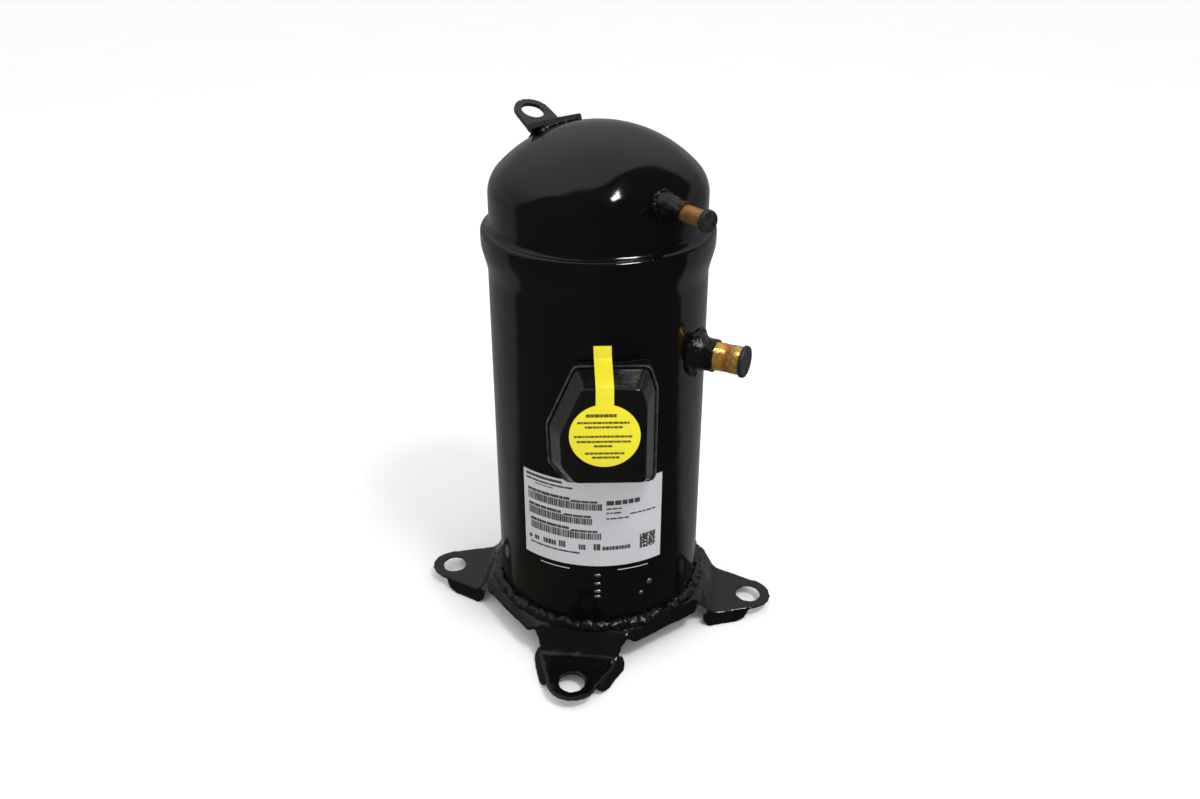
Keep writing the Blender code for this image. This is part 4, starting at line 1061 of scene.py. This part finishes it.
def build_shell_marks():
    """Small domes on the lower shell, a column of seam ripples and two plug welds, in pale metal that paints
    their glints.
    """
    wide, tall = SPOT_COLUMN_SIZE
    spots = [(SPOT_COLUMN_AZ, z, wide, tall) for z in SPOT_COLUMN_Z]
    spots += [(azimuth, z, size, size) for azimuth, z, size in LONE_SPOTS]
    for k, (azimuth, z, wide, tall) in enumerate(spots):
        bm = turned([(0, 0)] + arc(0, 0, 1, 0, 90, 8), 36)
        for vert in bm.verts:
            height = SHELL_R - SPOT_SUNK + vert.co.z * SPOT_RISE
            vert.co = Vector((vert.co.x * tall, vert.co.y * wide, height))
        show(f"shell_stud_{k + 1}", bm, GLINT_METAL, matrix=outwards(azimuth, z))


# ---------------------------------------------------------------- everything else


def dress_cad_nodes():
    """Every CAD node that stays gets the material of its slot."""
    slots = {part["node"]: part["material_slot"] for part in frame["record"]["subparts"]}
    for name, obj in frame["nodes"].items():
        material = SLOT_MATERIALS[slots[name]]
        obj.data.materials.clear()
        obj.data.materials.append(material)


def build_floor():
    """Wide round floor that only carries the shadow."""
    bm = bmesh.new()
    bmesh.ops.create_circle(bm, cap_ends=True, segments=64, radius=FLOOR_RADIUS)
    bmesh.ops.translate(bm, verts=bm.verts, vec=(0, 0, FLOOR_Z))
    mesh = bpy.data.meshes.new("floor")
    bm.to_mesh(mesh)
    bm.free()
    mesh.materials.append(floor_material())
    floor = bpy.data.objects.new("floor", mesh)
    bpy.context.scene.collection.objects.link(floor)


def build_world():
    """White to the camera, soft light on matt surfaces, and in mirrors a dark room with a pale back."""
    world = bpy.data.worlds.new("studio")
    bpy.context.scene.world = world
    world.use_nodes = True
    tree = world.node_tree
    nodes, links = tree.nodes, tree.links
    output = nodes["World Output"]
    soft = nodes["Background"]
    soft.inputs["Color"].default_value = PURE_WHITE
    soft.inputs["Strength"].default_value = 1.0

    def value(operation, first, second):
        node = nodes.new("ShaderNodeMath")
        node.operation = operation
        for k, item in enumerate((first, second)):
            if isinstance(item, bpy.types.NodeSocket):
                links.new(item, node.inputs[k])
            else:
                node.inputs[k].default_value = item
        return node.outputs[0]

    def ramp(source, low, high):
        node = nodes.new("ShaderNodeMapRange")
        node.interpolation_type = "SMOOTHSTEP"
        links.new(source, node.inputs["Value"])
        node.inputs["From Min"].default_value = low
        node.inputs["From Max"].default_value = high
        return node.outputs["Result"]

    direction = nodes.new("ShaderNodeTexCoord").outputs["Generated"]
    away = nodes.new("ShaderNodeVectorMath")
    away.operation = "DOT_PRODUCT"
    links.new(direction, away.inputs[0])
    away.inputs[1].default_value = VIEW_AWAY
    parts = nodes.new("ShaderNodeSeparateXYZ")
    links.new(direction, parts.inputs[0])
    raised = ramp(parts.outputs["Z"], 0.05, 0.5)
    to_right = value("MAXIMUM", parts.outputs["X"], 0.0)
    lean = value("SUBTRACT", PALE_FORWARD, value("MULTIPLY", to_right, PALE_RIGHT_LOSS))
    lit = ramp(value("ADD", away.outputs["Value"], value("MULTIPLY", raised, lean)), -0.06, 0.03)
    high = ramp(parts.outputs["Z"], 0.25, 0.9)
    left = ramp(parts.outputs["X"], 0.35, -0.35)
    dark = value("ADD", ROOM_DARK, value("MULTIPLY", left, ROOM_LEFT))
    level = value("ADD", value("MULTIPLY", lit, ROOM_PALE), dark)
    level = value("ADD", level, value("MULTIPLY", value("MULTIPLY", lit, high), ROOM_OVERHEAD))
    mirror = nodes.new("ShaderNodeBackground")
    links.new(level, mirror.inputs["Strength"])
    mirror.inputs["Color"].default_value = PURE_WHITE
    white = nodes.new("ShaderNodeBackground")
    white.inputs["Color"].default_value = PURE_WHITE
    white.inputs["Strength"].default_value = 1.0
    path = nodes.new("ShaderNodeLightPath")
    first = nodes.new("ShaderNodeMixShader")
    links.new(path.outputs["Is Glossy Ray"], first.inputs["Fac"])
    links.new(soft.outputs[0], first.inputs[1])
    links.new(mirror.outputs[0], first.inputs[2])
    second = nodes.new("ShaderNodeMixShader")
    links.new(path.outputs["Is Camera Ray"], second.inputs["Fac"])
    links.new(first.outputs[0], second.inputs[1])
    links.new(white.outputs[0], second.inputs[2])
    links.new(second.outputs[0], output.inputs["Surface"])


def strip_light(name, spot, target, size, power):
    """Rectangular lamp aimed at a point."""
    light = bpy.data.lights.new(name, "AREA")
    light.shape = "RECTANGLE"
    light.size, light.size_y = size
    light.energy = power
    obj = bpy.data.objects.new(name, light)
    obj.location = spot
    aim = Vector(target) - Vector(spot)
    obj.rotation_euler = aim.to_track_quat("-Z", "Y").to_euler()
    bpy.context.scene.collection.objects.link(obj)


def build_lights():
    strip_light("overhead", LAMP_SPOT, LAMP_TARGET, LAMP_SIZE, LAMP_POWER)


def build_camera():
    """Camera fitted to the four feet, with plain, unfiltered colours."""
    camera = bpy.data.cameras.new("camera")
    camera.lens = CAMERA_LENS
    camera.sensor_width = 36
    camera.shift_x, camera.shift_y = CAMERA_SHIFT
    camera.clip_start = 0.05
    obj = bpy.data.objects.new("camera", camera)
    obj.location = CAMERA_SPOT
    obj.rotation_euler = CAMERA_TURN
    bpy.context.scene.collection.objects.link(obj)
    bpy.context.scene.camera = obj
    bpy.context.scene.view_settings.view_transform = "Standard"


dress_cad_nodes()
build_shell()
build_cap()
build_ring_welds()
build_plate()
build_bracket()
build_suction_stub()
build_discharge_stub()
build_box()
build_tag()
build_label()
build_shell_marks()
build_floor()
build_world()
build_lights()
build_camera()
